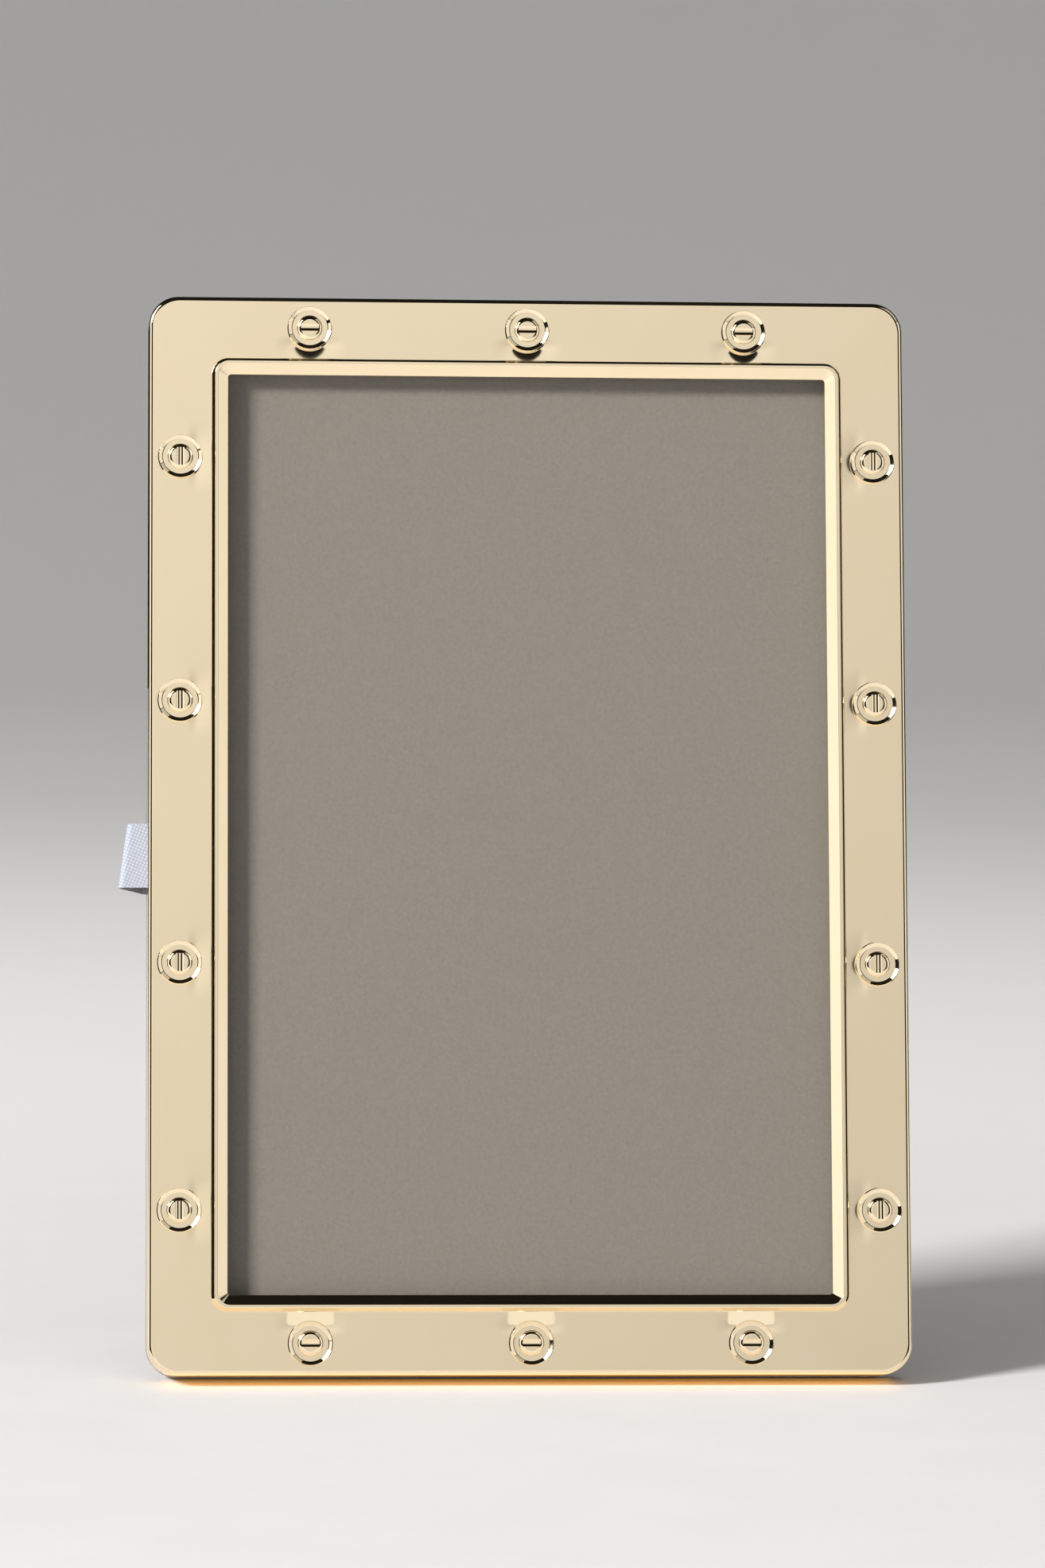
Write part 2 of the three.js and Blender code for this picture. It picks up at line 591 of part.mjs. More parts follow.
// Front with its studs and the stack behind the lip, about the middle of the front.
function frontGroup() {
  const group = new THREE.Group();
  group.add(piece('front_frame', frontFrame(), 'gold'));
  studPlaces().forEach(({ x, z, upright }, i) => {
    const number = String(i + 1).padStart(2, '0');
    const cup = piece(`stud_cup_${number}`, studCup(), 'gold');
    cup.position.set(x, -SEAT_GAP, z);
    const screw = piece(`slotted_screw_${number}`, slottedScrew(), 'gold');
    screw.position.set(x, -CUP_FLOOR - 2 * SEAT_GAP, z);
    screw.rotation.y = upright ? Math.PI / 2 : 0;
    group.add(cup, screw);
  });
  group.add(piece('glass_pane', plate(pictureOutline(), GLASS_FRONT, GLASS_FRONT + GLASS_THICKNESS), 'glass'));
  group.add(piece('photo_card', plate(pictureOutline(), PICTURE_FRONT, PICTURE_FRONT + PICTURE_THICKNESS), 'card'));
  const backing = plate(pictureOutline(), BACKING_FRONT, BACKING_FRONT + BACKING_THICKNESS);
  group.add(piece('backing_card', backing, 'packing'));
  group.position.z = FRONT_HEIGHT / 2;
  return group;
}

// Back that pulls off: boards, velvet and ribbon about the middle of the front.
function backGroup() {
  const group = new THREE.Group();
  const backOutline = (inset) => frontOutline(inset, Math.max(OUTER_CORNER_RADIUS - inset, REBATE_CORNER_RADIUS));
  const hingeZ = HINGE_HEIGHT - FRONT_HEIGHT / 2;
  const holes = rivetHoles(1, BACK_FRONT, BACK_REAR).map((hole) => hole.translate(0, 0, hingeZ));
  const { skin, cuts } = wrap(backOutline, BACK_FRONT, BACK_REAR, BACK_TURN_IN);
  const board = plate(backOutline(VELVET + SEAT_GAP), BOARD_FRONT, BOARD_REAR);
  group.add(piece('plug_board', plate(pictureOutline(), PLUG_FRONT, PLUG_FRONT + PLUG_THICKNESS), 'board'));
  group.add(piece('back_velvet', combine(skin, { cuts: [...cuts, ...holes] }), 'velvet'));
  group.add(piece('back_board', combine(board, { cuts: holes }), 'board'));
  group.add(piece('pull_ribbon', pullRibbon(), 'ribbon'));
  group.position.z = FRONT_HEIGHT / 2;
  return group;
}

// Fixed half of the hinge, about the hinge axis.
function hingeGroup() {
  const group = new THREE.Group();
  const half = LEAF_WIDTH / 2;
  group.add(piece('hinge_fixed_leaf', fixedLeaf(), 'hinge'));
  group.add(piece('hinge_pin', barAlongX(PIN_RADIUS, -half, half), 'hinge'));
  group.add(...rivets(1, 1, BOARD_FRONT - HINGE_DEPTH, LEAF_REAR + SEAT_GAP));
  group.position.set(0, HINGE_DEPTH, HINGE_HEIGHT);
  return group;
}

// Strut with its half of the hinge, turned open about the hinge axis.
function strutGroup() {
  const group = new THREE.Group();
  group.add(piece('strut_board', strutBoard(), 'board'));
  group.add(piece('strut_velvet', strutVelvet(), 'velvet'));
  group.add(piece('strut_lining', strutLining(), 'lining'));
  group.add(piece('hinge_moving_leaf', movingLeaf(), 'hinge'));
  group.add(...rivets(-1, 3, LEAF_FRONT, STRUT_REAR + SEAT_GAP));
  group.position.set(0, HINGE_DEPTH, HINGE_HEIGHT);
  group.rotation.x = STRUT_OPENING;
  return group;
}

// The leaning frame, stood on the table with the middle of its footprint at the origin.
function pictureFrame() {
  const leaning = new THREE.Group();
  leaning.add(frontGroup(), backGroup(), hingeGroup(), strutGroup());
  leaning.rotation.x = -LEAN;
  const whole = new THREE.Group();
  whole.add(leaning);
  whole.updateMatrixWorld(true);
  const bounds = new THREE.Box3().setFromObject(whole, true);
  const middle = bounds.getCenter(new THREE.Vector3());
  leaning.position.set(-middle.x, -middle.y, -bounds.min.z);
  whole.updateMatrixWorld(true);
  return whole;
}

export default pictureFrame();
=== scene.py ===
"""Looks of a free-standing picture frame with a studded gold front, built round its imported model.

Lengths are in millimetres in the sizes below and in metres in the finished meshes. Each sub-assembly
is a class that builds its pieces in its own axes and then places them over the model's nodes.
"""

import json
import logging
import math
from dataclasses import dataclass
from enum import Enum
from typing import Any, Sequence

import bmesh
import bpy
from mathutils import Matrix, Vector


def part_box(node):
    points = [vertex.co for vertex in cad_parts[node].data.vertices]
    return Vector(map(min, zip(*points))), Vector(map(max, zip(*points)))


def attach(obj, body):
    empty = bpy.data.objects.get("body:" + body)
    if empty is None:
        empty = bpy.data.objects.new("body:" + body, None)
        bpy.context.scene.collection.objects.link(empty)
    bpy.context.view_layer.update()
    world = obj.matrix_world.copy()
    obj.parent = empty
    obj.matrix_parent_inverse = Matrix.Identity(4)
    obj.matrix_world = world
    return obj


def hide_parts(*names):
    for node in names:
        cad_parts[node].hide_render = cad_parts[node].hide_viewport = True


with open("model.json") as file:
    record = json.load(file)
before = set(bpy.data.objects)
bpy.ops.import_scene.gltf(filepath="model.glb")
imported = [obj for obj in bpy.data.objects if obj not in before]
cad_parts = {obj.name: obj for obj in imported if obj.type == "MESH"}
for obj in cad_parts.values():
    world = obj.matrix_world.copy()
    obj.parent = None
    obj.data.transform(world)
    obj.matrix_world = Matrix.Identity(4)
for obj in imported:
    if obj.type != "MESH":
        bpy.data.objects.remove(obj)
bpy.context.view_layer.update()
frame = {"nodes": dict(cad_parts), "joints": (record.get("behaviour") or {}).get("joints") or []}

logging.basicConfig(level=logging.INFO, format="%(name)s: %(message)s")
log = logging.getLogger("picture_frame")

MM = 0.001
SMOOTH_ANGLE = math.radians(32)
BEVEL_ANGLE = math.radians(35)
MERGE_DISTANCE = 0.0005
NOISE_MIDDLE = {"From Min": 0.3, "From Max": 0.7}

Point2 = tuple[float, float]
Point3 = tuple[float, float, float]
Solid = bmesh.types.BMesh
Vert = bmesh.types.BMVert
Mesh = bpy.types.Mesh
Object = bpy.types.Object
Material = bpy.types.Material
Node = bpy.types.Node


class Body(str, Enum):
    """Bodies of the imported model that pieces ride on."""

    FRONT = "front"
    BACK = "back"
    STRUT = "strut"


class Slot(str, Enum):
    """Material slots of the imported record."""

    GOLD = "gold_plate"
    GLASS = "window_glass"
    CARD = "taupe_card"
    PACKING = "packing_card"
    BOARD = "board"
    VELVET = "velvet"
    LINING = "lining_card"
    RIBBON = "ribbon"
    HINGE = "hinge_brass"


# Placing


@dataclass(frozen=True)
class Axes:
    """Axes of a sub-assembly: x to the right, y to the back and z up along it, from an origin in metres."""

    origin: Vector
    rear: Vector
    up: Vector

    @property
    def matrix(self) -> Matrix:
        """Where the axes lie.

        Returns:
            Matrix from millimetres in these axes to metres in the model's frame.
        """
        right = self.rear.cross(self.up)
        turn = Matrix((right, self.rear, self.up)).transposed().to_4x4()
        return Matrix.Translation(self.origin) @ turn @ Matrix.Scale(MM, 4)


def joint(name: str) -> dict[str, Any]:
    """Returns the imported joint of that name."""
    return next(row for row in frame["joints"] if row["name"] == name)


def strut_opening() -> float:
    """Angle between the folded and the open strut, in radians."""
    folded, opened = joint("strut_fold")["range_deg"]
    return math.radians(opened - folded)


def front_axes(glass_middle_depth: float) -> Axes:
    """Axes of the leaning front, from the middle of its face.

    Args:
        glass_middle_depth: How far the middle of the glass lies behind the face.

    Returns:
        The axes, found from the pull direction of the back and the place of the glass.
    """
    rear = Vector(joint("back_pull")["axis"]).normalized()
    low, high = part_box("glass_pane")
    middle = (low + high) / 2 - rear * glass_middle_depth * MM
    return Axes(middle, rear, Vector((1, 0, 0)).cross(rear))


def strut_axes(front: Axes) -> Axes:
    """Axes of the open strut, from its hinge axis.

    Args:
        front: Axes of the leaning front, which the folded strut lies parallel to.

    Returns:
        The axes at rest, where the strut stands open against its stop.
    """
    hinge = joint("strut_fold")
    turn = Matrix.Rotation(strut_opening(), 3, Vector(hinge["axis"]))
    return Axes(Vector(hinge["pos_m"]), turn @ front.rear, turn @ front.up)


# Profiles and outlines


@dataclass(frozen=True)
class Corner:
    """Corner of a profile: two coordinates, the radius that rounds it, and the outline's corner radius."""

    across: float
    along: float
    rounding: float = 0.0
    outline: float = 0.0

    @property
    def point(self) -> Vector:
        """The coordinates with the outline's radius."""
        return Vector((self.across, self.along, self.outline))


def circle(steps: int) -> list[float]:
    """Angles of even steps round a circle."""
    return [2 * math.pi * step / steps for step in range(steps)]


def rectangle(half_x: float, half_z: float) -> list[Point2]:
    """Corners of an upright rectangle about the middle, from the upper right one over the top."""
    return [(half_x, half_z), (-half_x, half_z), (-half_x, -half_z), (half_x, -half_z)]


def corner_arc(here: Vector, ends: Sequence[Vector], radius: float, steps: int) -> tuple[float, list[Vector]]:
    """Arc that rounds one corner.

    Args:
        here: The corner.
        ends: Unit vectors towards the corners before and after it.
        radius: Radius of the arc.
        steps: Segments of the arc.

    Returns:
        How far from the corner the arc starts and ends, and its points.
    """
    half_angle = ends[0].angle(ends[1]) / 2
    reach = radius / math.tan(half_angle)
    centre = here + (ends[0] + ends[1]).normalized() * (radius / math.sin(half_angle))
    start = here + ends[0] * reach - centre
    sweep = start.angle_signed(here + ends[1] * reach - centre)
    return reach, [centre + Matrix.Rotation(-sweep * step / steps, 2) @ start for step in range(steps + 1)]


def rounded_profile(
    corners: Sequence[Corner], closed: bool, steps: int = 6, hold: float = 0.04
) -> list[Point3]:
    """Rounds the corners of a profile and holds the flats beside each arc, so that they mirror as flats.

    Args:
        corners: Corners in order.
        closed: Whether the last corner joins the first.
        steps: Segments of each arc.
        hold: Distance from an arc to the point that holds the flat beside it.

    Returns:
        Points as (across, along, outline radius).
    """
    points: list[Point3] = []
    count = len(corners)
    for index, corner in enumerate(corners):
        here = corner.point
        at_end = not closed and index in (0, count - 1)
        if at_end or corner.rounding <= 0:
            points.append(tuple(here))
            continue
        ends = [other.point - here for other in (corners[index - 1], corners[(index + 1) % count])]
        ends = [end / end.to_2d().length for end in ends]
        reach, arc = corner_arc(here.to_2d(), [end.to_2d() for end in ends], corner.rounding, steps)
        first, last = (here.z + end.z * reach for end in ends)
        points.append(tuple(here + ends[0] * (reach + hold)))
        points.extend((*point, first + (last - first) * step / steps) for step, point in enumerate(arc))
        points.append(tuple(here + ends[1] * (reach + hold)))
    return points


def rounded_polygon(
    corners: Sequence[Point2],
    radius: float,
    steps: int,
    stations: Sequence[Sequence[float]] = (),
    hold: float = 0.3,
) -> list[Point2]:
    """Convex polygon with rounded corners.

    Args:
        corners: Corners in order.
        radius: Radius of every corner.
        steps: Segments of each rounded corner.
        stations: For each side, the one after its corner, coordinates along its longer axis that get a point.
        hold: Distance from an arc to the point that holds the straight side beside it.

    Returns:
        Points in order.
    """
    points: list[Point2] = []
    count = len(corners)
    for index in range(count):
        here = Vector(corners[index])
        others = (corners[index - 1], corners[(index + 1) % count])
        before, after = ((Vector(other) - here).normalized() for other in others)
        reach, arc = corner_arc(here, (before, after), radius, steps)
        points.append(tuple(here + before * (reach + hold)))
        points.extend(tuple(point) for point in arc)
        points.append(tuple(here + after * (reach + hold)))
        for station in stations[index] if stations else ():
            axis = 0 if abs(after.x) > abs(after.y) else 1
            points.append(tuple(here + after * abs(station - here[axis])))
    return points


# Meshes


def bridge(mesh: Solid, first: Sequence[Vert], second: Sequence[Vert], ring: bool) -> None:
    """Puts a band of faces between two rows of points.

    Args:
        mesh: Mesh that holds the points.
        first: One row.
        second: The other row, with as many points.
        ring: Whether the last point of a row joins its first.
    """
    count = len(first)
    for i in range(count if ring else count - 1):
        j = (i + 1) % count
        mesh.faces.new((first[i], first[j], second[j], second[i]))


def loft(rings: Sequence[Sequence[Point3]], closed: bool) -> Solid:
    """Skin through rings that have as many points each.

    Args:
        rings: Rings in order, each as points in the sub-assembly's axes.
        closed: Whether the last ring joins the first; if not, both ends are capped.

    Returns:
        The mesh, in the sub-assembly's axes.
    """
    mesh = bmesh.new()
    made = [[mesh.verts.new(point) for point in ring] for ring in rings]
    following = made[1:] + made[:1] if closed else made[1:]
    for ring, after in zip(made, following):
        bridge(mesh, ring, after, ring=True)
    if not closed:
        mesh.faces.new(made[0])
        mesh.faces.new(list(reversed(made[-1])))
    return mesh


def lathe(corners: Sequence[Corner], steps: int, arc_steps: int = 6, hold: float = 0.04) -> Solid:
    """Turned solid about y, whose profile runs from the axis back to the axis.

    Args:
        corners: Corners of the profile as radius and height, with the height towards the front.
        steps: Segments round the axis.
        arc_steps: Segments of each rounded corner.
        hold: Distance from an arc to the point that holds the flat beside it.

    Returns:
        The mesh, standing on the origin.
    """
    profile = rounded_profile(corners, False, arc_steps, hold)
    rings = [[(r * math.cos(a), -h, r * math.sin(a)) for a in circle(steps)] for r, h, _ in profile]
    return loft(rings, closed=False)


def box_mesh(low: Point3, high: Point3) -> Solid:
    """Box along the axes.

    Args:
        low: Its lowest corner.
        high: Its highest corner.

    Returns:
        The mesh.
    """
    mesh = bmesh.new()
    middle = (Vector(low) + Vector(high)) / 2
    size = Vector(high) - Vector(low)
    bmesh.ops.create_cube(mesh, size=1.0, matrix=Matrix.Translation(middle) @ Matrix.Diagonal((*size, 1.0)))
    return mesh


def bar_mesh(radius: float, left: float, right: float, depth: float = 0.0, steps: int = 48) -> Solid:
    """Round bar along x.

    Args:
        radius: Its radius.
        left: Lowest x.
        right: Highest x.
        depth: Place of its axis in y.
        steps: Segments round the axis.

    Returns:
        The mesh.
    """
    turns = circle(steps)
    rings = [[(x, depth + radius * math.cos(a), radius * math.sin(a)) for a in turns] for x in (left, right)]
    return loft(rings, closed=False)


def settle(mesh: Solid, name: str, axes: Axes | None = None) -> Mesh:
    """Merges doubles, turns the normals outwards, shades smooth and places a mesh.

    Args:
        mesh: Mesh to finish, which is freed.
        name: Name of the finished mesh.
        axes: Axes it was built in, or None to leave it there.

    Returns:
        The finished mesh.
    """
    bmesh.ops.remove_doubles(mesh, verts=mesh.verts, dist=MERGE_DISTANCE)
    bmesh.ops.recalc_face_normals(mesh, faces=mesh.faces)
    for face in mesh.faces:
        face.smooth = True
    made = bpy.data.meshes.new(name)
    mesh.to_mesh(made)
    mesh.free()
    if axes:
        made.transform(axes.matrix)
    made.set_sharp_from_angle(angle=SMOOTH_ANGLE)
    return made


def link(name: str, mesh: Mesh) -> Object:
    """Puts a mesh into the scene.

    Args:
        name: Name of the object.
        mesh: Its mesh.

    Returns:
        The object, at the origin.
    """
    made = bpy.data.objects.new(name, mesh)
    bpy.context.scene.collection.objects.link(made)
    return made


def evaluated(source: Object) -> Mesh:
    """Plain mesh of an object with its modifiers worked out."""
    graph = bpy.context.evaluated_depsgraph_get()
    return bpy.data.meshes.new_from_object(source.evaluated_get(graph), depsgraph=graph)


def discard(*objects: Object) -> None:
    """Takes helper objects out of the file again."""
    for gone in objects:
        bpy.data.objects.remove(gone)


def carved(
    base: Solid, joined: Sequence[Solid] = (), cuts: Sequence[Solid] = (), bevel: float = 0.0
) -> Solid:
    """Joins solids to a base, cuts others out of it and rounds the edges.

    Args:
        base: Solid to work on.
        joined: Solids added to it.
        cuts: Solids taken out of it.
        bevel: Width of the rounded edges.

    Returns:
        The resulting mesh in the same axes.
    """
    body = link("carved_base", settle(base, "carved_base"))
    helpers = []
    for operation, solids in (("UNION", joined), ("DIFFERENCE", cuts)):
        for solid in solids:
            tool = link("carved_tool", settle(solid, "carved_tool"))
            helpers.append(tool)
            change = body.modifiers.new(operation.lower(), "BOOLEAN")
            change.operation = operation
            change.object = tool
            change.solver = "EXACT"
    if bevel:
        rounding = body.modifiers.new("edges", "BEVEL")
        rounding.width = bevel
        rounding.segments = 3
        rounding.limit_method = "ANGLE"
        rounding.angle_limit = BEVEL_ANGLE
    result = bmesh.new()
    worked = evaluated(body)
    result.from_mesh(worked)
    bpy.data.meshes.remove(worked)
    discard(body, *helpers)
    return result


# Nodes and repeated parts


def fill_inputs(node: Node, inputs: dict[Any, Any]) -> None:
    """Sets inputs of a node.

    Args:
        node: The node.
        inputs: By name or number, a value, a socket to link, or a node whose first live output is linked.
    """
    for key, value in inputs.items():
        if isinstance(value, Node):
            value = next(socket for socket in value.outputs if socket.enabled)
        if isinstance(value, bpy.types.NodeSocket):
            node.id_data.links.new(value, node.inputs[key])
        else:
            node.inputs[key].default_value = value


def add_node(
    tree: bpy.types.NodeTree, kind: str, inputs: dict[Any, Any] | None = None, **settings: Any
) -> Node:
    """Adds one node to a tree.

    Args:
        tree: Tree to add to.
        kind: Type name of the node.
        inputs: What its inputs get, by name or number.
        settings: Properties to set on it.

    Returns:
        The new node.
    """
    node = tree.nodes.new(kind)
    for name, value in settings.items():
        setattr(node, name, value)
    fill_inputs(node, inputs or {})
    return node


class ScatterTree:
    """Geometry Nodes tree that sets one copy of a template on every point of a mesh."""

    TURN = "turn"
    INPUTS = {"Points": "Geometry", "Template": "Object", "Size": "Float", "Finish": "Material"}

    def __init__(self) -> None:
        """Builds the tree with its named inputs."""
        self.tree = tree = bpy.data.node_groups.new("set_on_points", "GeometryNodeTree")
        self.sockets = {}
        for name, kind in self.INPUTS.items():
            socket = tree.interface.new_socket(name, in_out="INPUT", socket_type="NodeSocket" + kind)
            self.sockets[name] = socket.identifier
        tree.interface.new_socket("Parts", in_out="OUTPUT", socket_type="NodeSocketGeometry")
        given = add_node(tree, "NodeGroupInput").outputs
        turn = add_node(tree, "GeometryNodeInputNamedAttribute", {"Name": self.TURN}, data_type="FLOAT")
        euler = add_node(tree, "ShaderNodeCombineXYZ", {"Y": turn.outputs["Attribute"]})
        source = add_node(tree, "GeometryNodeObjectInfo", {"Object": given["Template"], "As Instance": True})
        copies = add_node(
            tree,
            "GeometryNodeInstanceOnPoints",
            {
                "Points": given["Points"],
                "Instance": source.outputs["Geometry"],
                "Rotation": add_node(tree, "FunctionNodeEulerToRotation", {0: euler}),
                "Scale": given["Size"],
            },
        )
        real = add_node(tree, "GeometryNodeRealizeInstances", {0: copies})
        dressed = add_node(tree, "GeometryNodeSetMaterial", {"Geometry": real, "Material": given["Finish"]})
        add_node(tree, "NodeGroupOutput", {0: dressed})

    def scatter(
        self, name: str, template: Solid, places: Sequence[tuple[Point3, float]], finish: Material, axes: Axes
    ) -> Mesh:
        """Sets the template on every place.

        Args:
            name: Name of the resulting mesh.
            template: One copy, about the origin.
            places: Position of each copy and its turn about y.
            finish: Material of all copies.
            axes: Axes that template and places are built in.

        Returns:
            One plain mesh with all copies, placed in the model's frame.
        """
        points = bpy.data.meshes.new(name + "_points")
        points.from_pydata([place for place, _ in places], [], [])
        turns = points.attributes.new(self.TURN, "FLOAT", "POINT")
        turns.data.foreach_set("value", [turn for _, turn in places])
        carrier = link(name + "_points", points)
        source = link(name + "_template", settle(template, name + "_template"))
        modifier = carrier.modifiers.new("set_on_points", "NODES")
        modifier.node_group = self.tree
        for given, value in (("Template", source), ("Size", 1.0), ("Finish", finish)):
            modifier[self.sockets[given]] = value
        made = evaluated(carrier)
        carrier.modifiers.remove(modifier)
        discard(carrier, source)
        made.name = name
        made.transform(axes.matrix)
        made.set_sharp_from_angle(angle=SMOOTH_ANGLE)
        return made


# Finishes


def linear(colour: str) -> tuple[float, float, float, float]:
    """Linear colour of an sRGB hex string, with full alpha."""
    parts = [int(colour[i : i + 2], 16) / 255 for i in (1, 3, 5)]
    return (*(p / 12.92 if p <= 0.04045 else ((p + 0.055) / 1.055) ** 2.4 for p in parts), 1.0)


def per_metre(feature: float) -> float:
    """Texture scale at which a feature of that many millimetres repeats, in coordinates of metres."""
    return 1.0 / (feature * MM)


class Surface:
    """Node tree of one material, which ends in a Principled shader."""

    def __init__(self, name: str) -> None:
        """Makes a material with a plain shader and its coordinates.

        Args:
            name: Name of the material.
        """
        self.material = bpy.data.materials.new(name)
        self.material.use_nodes = True
        self.tree = self.material.node_tree
        self.tree.nodes.clear()
        self.shader = self.add("ShaderNodeBsdfPrincipled")
        self.add("ShaderNodeOutputMaterial", {"Surface": self.shader})
        coordinates = self.add("ShaderNodeTexCoord")
        self.place = coordinates.outputs["Object"]
        self.unwrapped = coordinates.outputs["UV"]

    def add(self, kind: str, inputs: dict[Any, Any] | None = None, **settings: Any) -> Node:
        """Adds one node to the material's tree."""
        return add_node(self.tree, kind, inputs, **settings)

    def finished(
        self, tones: tuple[Node, str, str], relief: tuple[Node, float, float], inputs: dict[str, Any]
    ) -> Material:
        """Mottles the base colour, raises the surface and sets the other inputs of the shader.

        Args:
            tones: Pattern that mixes the colour, and the two hex colours.
            relief: Pattern that raises the surface, its depth in millimetres and its strength.
            inputs: Other inputs of the shader.

        Returns:
            The material.
        """
        share, first, second = tones
        height, depth, strength = relief
        colour = {0: share, 6: linear(first), 7: linear(second)}
        raised = {"Height": height, "Distance": depth * MM, "Strength": strength}
        fill_inputs(
            self.shader,
            {
                "Base Color": self.add("ShaderNodeMix", colour, data_type="RGBA"),
                "Normal": self.add("ShaderNodeBump", raised),
                **inputs,
            },
        )
        return self.material


@dataclass(frozen=True)
class PlatedGold:
    """Pale gold electroplated over a hand-polished die casting."""

    name: str = "pale_gold_plate_hand_polished"
    colour: str = "#FDEBCA"
    worn: str = "#FAE6C1"
    roughness: Point2 = (0.035, 0.075)
    haze_size: float = 11.0
    ripple_size: float = 6.0
    ripple_depth: float = 0.0012

    def make(self) -> Material:
        """Builds the material.

        Returns:
            The material.
        """
        surface = Surface(self.name)
        place = surface.place
        # Polishing by hand leaves long, very shallow ripples, so straight reflections waver a little
        # and the mirror is hazier in some places than in others.
        haze, ripple = (
            surface.add("ShaderNodeTexNoise", {"Vector": place, "Scale": per_metre(size), "Detail": detail})
            for size, detail in ((self.haze_size, 3.0), (self.ripple_size, 1.0))
        )
        low, high = self.roughness
        gloss = {"Value": haze, **NOISE_MIDDLE, "To Min": low, "To Max": high}
        return surface.finished(
            (haze, self.colour, self.worn),
            (ripple, self.ripple_depth, 1.0),
            {"Metallic": 1.0, "Roughness": surface.add("ShaderNodeMapRange", gloss)},
        )


@dataclass(frozen=True)
class FloatGlass:
    """Clear picture glass with a low-reflection coating and a trace of wiping haze."""

    name: str = "coated_picture_glass_wiped"
    tint: str = "#F7FCFA"
    bending: float = 1.2
    roughness: Point2 = (0.0, 0.02)
    haze_size: float = 30.0
    streak: Point3 = (1.0, 1.0, 0.4)

    def make(self) -> Material:
        """Builds the material.

        Returns:
            The material.
        """
        surface = Surface(self.name)
        # Wiping leaves broad faint streaks, which only soften the reflection here and there.
        along = surface.add("ShaderNodeMapping", {"Vector": surface.place, "Scale": self.streak})
        wiped = {"Vector": along, "Scale": per_metre(self.haze_size), "Detail": 2.0}
        haze = surface.add("ShaderNodeTexNoise", wiped)
        low, high = self.roughness
        gloss = {"Value": haze, **NOISE_MIDDLE, "To Min": low, "To Max": high}
        fill_inputs(
            surface.shader,
            {
                "Base Color": linear(self.tint),
                "Transmission Weight": 1.0,
                "IOR": self.bending,
                "Roughness": surface.add("ShaderNodeMapRange", gloss),
            },
        )
        return surface.material


@dataclass(frozen=True)
class PressedCard:
    """Uncoated card, pressed from short fibres."""

    name: str
    colour: str
    fleck: str
    fibre: float = 0.5
    tooth: float = 0.03

    def make(self) -> Material:
        """Builds the material.

        Returns:
            The material.
        """
        surface = Surface(self.name)
        # Short fibres lie at random in the sheet, so the colour is finely mottled and the skin has a tooth.
        pressed = {"Vector": surface.place, "Scale": per_metre(self.fibre), "Detail": 4.0}
        fibres = surface.add("ShaderNodeTexNoise", pressed)
        mottle = surface.add("ShaderNodeMapRange", {"Value": fibres, **NOISE_MIDDLE})
        return surface.finished(
            (mottle, self.colour, self.fleck),
            (fibres, self.tooth, 0.5),
            {"Roughness": 0.8, "Specular IOR Level": 0.1},
        )


@dataclass(frozen=True)
class RawFibreboard:
    """Raw fibreboard with a sawn edge."""

    name: str = "raw_fibreboard_sawn"
    colour: str = "#A98A63"
    fleck: str = "#7D6144"
    roughness: Point2 = (0.75, 0.95)
    fibre: float = 1.1
    hair: float = 0.06
    lie: Point3 = (0.5, 1.0, 1.0)

    def make(self) -> Material:
        """Builds the material.

        Returns:
            The material.
        """
        surface = Surface(self.name)
        # Wood fibres are pressed flat, so the board is flecked and has a dull, slightly hairy face.
        along = surface.add("ShaderNodeMapping", {"Vector": surface.place, "Scale": self.lie})
        pressed = {"Vector": along, "Scale": per_metre(self.fibre), "Detail": 6.0}
        fibres = surface.add("ShaderNodeTexNoise", pressed)
        mottle = surface.add("ShaderNodeMapRange", {"Value": fibres, **NOISE_MIDDLE})
        low, high = self.roughness
        gloss = {"Value": fibres, **NOISE_MIDDLE, "To Min": low, "To Max": high}
        return surface.finished(
            (mottle, self.colour, self.fleck),
            (fibres, self.hair, 0.6),
            {"Roughness": surface.add("ShaderNodeMapRange", gloss)},
        )


@dataclass(frozen=True)
class ShortPileVelvet:
    """Short-pile velvet, brushed one way and glued over a board."""

    name: str = "taupe_velvet_brushed_pile"
    colour: str = "#8A7565"
    shade: str = "#6B594C"
    sheen: str = "#D9C7B6"
    tuft: float = 0.7
    pile: float = 0.25
    stroke: float = 14.0
    brushed: Point3 = (1.0, 1.0, 0.45)
    tuft_share: float = 0.45
    lowered_by: float = 0.22

    def make(self) -> Material:
        """Builds the material.

        Returns:
            The material.
        """
        surface = Surface(self.name)
        # The pile stands in fine tufts, drawn coarser than real so that they show, and lies over in broad
        # strokes where a hand has brushed it. Its tips catch the light at the edges.
        along = surface.add("ShaderNodeMapping", {"Vector": surface.place, "Scale": self.brushed})
        tufts, strokes = (
            surface.add("ShaderNodeTexNoise", {"Vector": place, "Scale": per_metre(size), "Detail": 3.0})
            for place, size in ((surface.place, self.tuft), (along, self.stroke))
        )
        added = {0: tufts, 1: self.tuft_share, 2: strokes}
        both = surface.add("ShaderNodeMath", added, operation="MULTIPLY_ADD")
        lowered = surface.add("ShaderNodeMath", {0: both, 1: self.lowered_by}, operation="SUBTRACT")
        worn = surface.add("ShaderNodeMapRange", {"Value": lowered, **NOISE_MIDDLE})
        return surface.finished(
            (worn, self.shade, self.colour),
            (tufts, self.pile, 0.8),
            {
                "Roughness": 0.95,
                "Specular IOR Level": 0.1,
                "Sheen Weight": 0.55,
                "Sheen Roughness": 0.45,
                "Sheen Tint": linear(self.sheen),
            },
        )


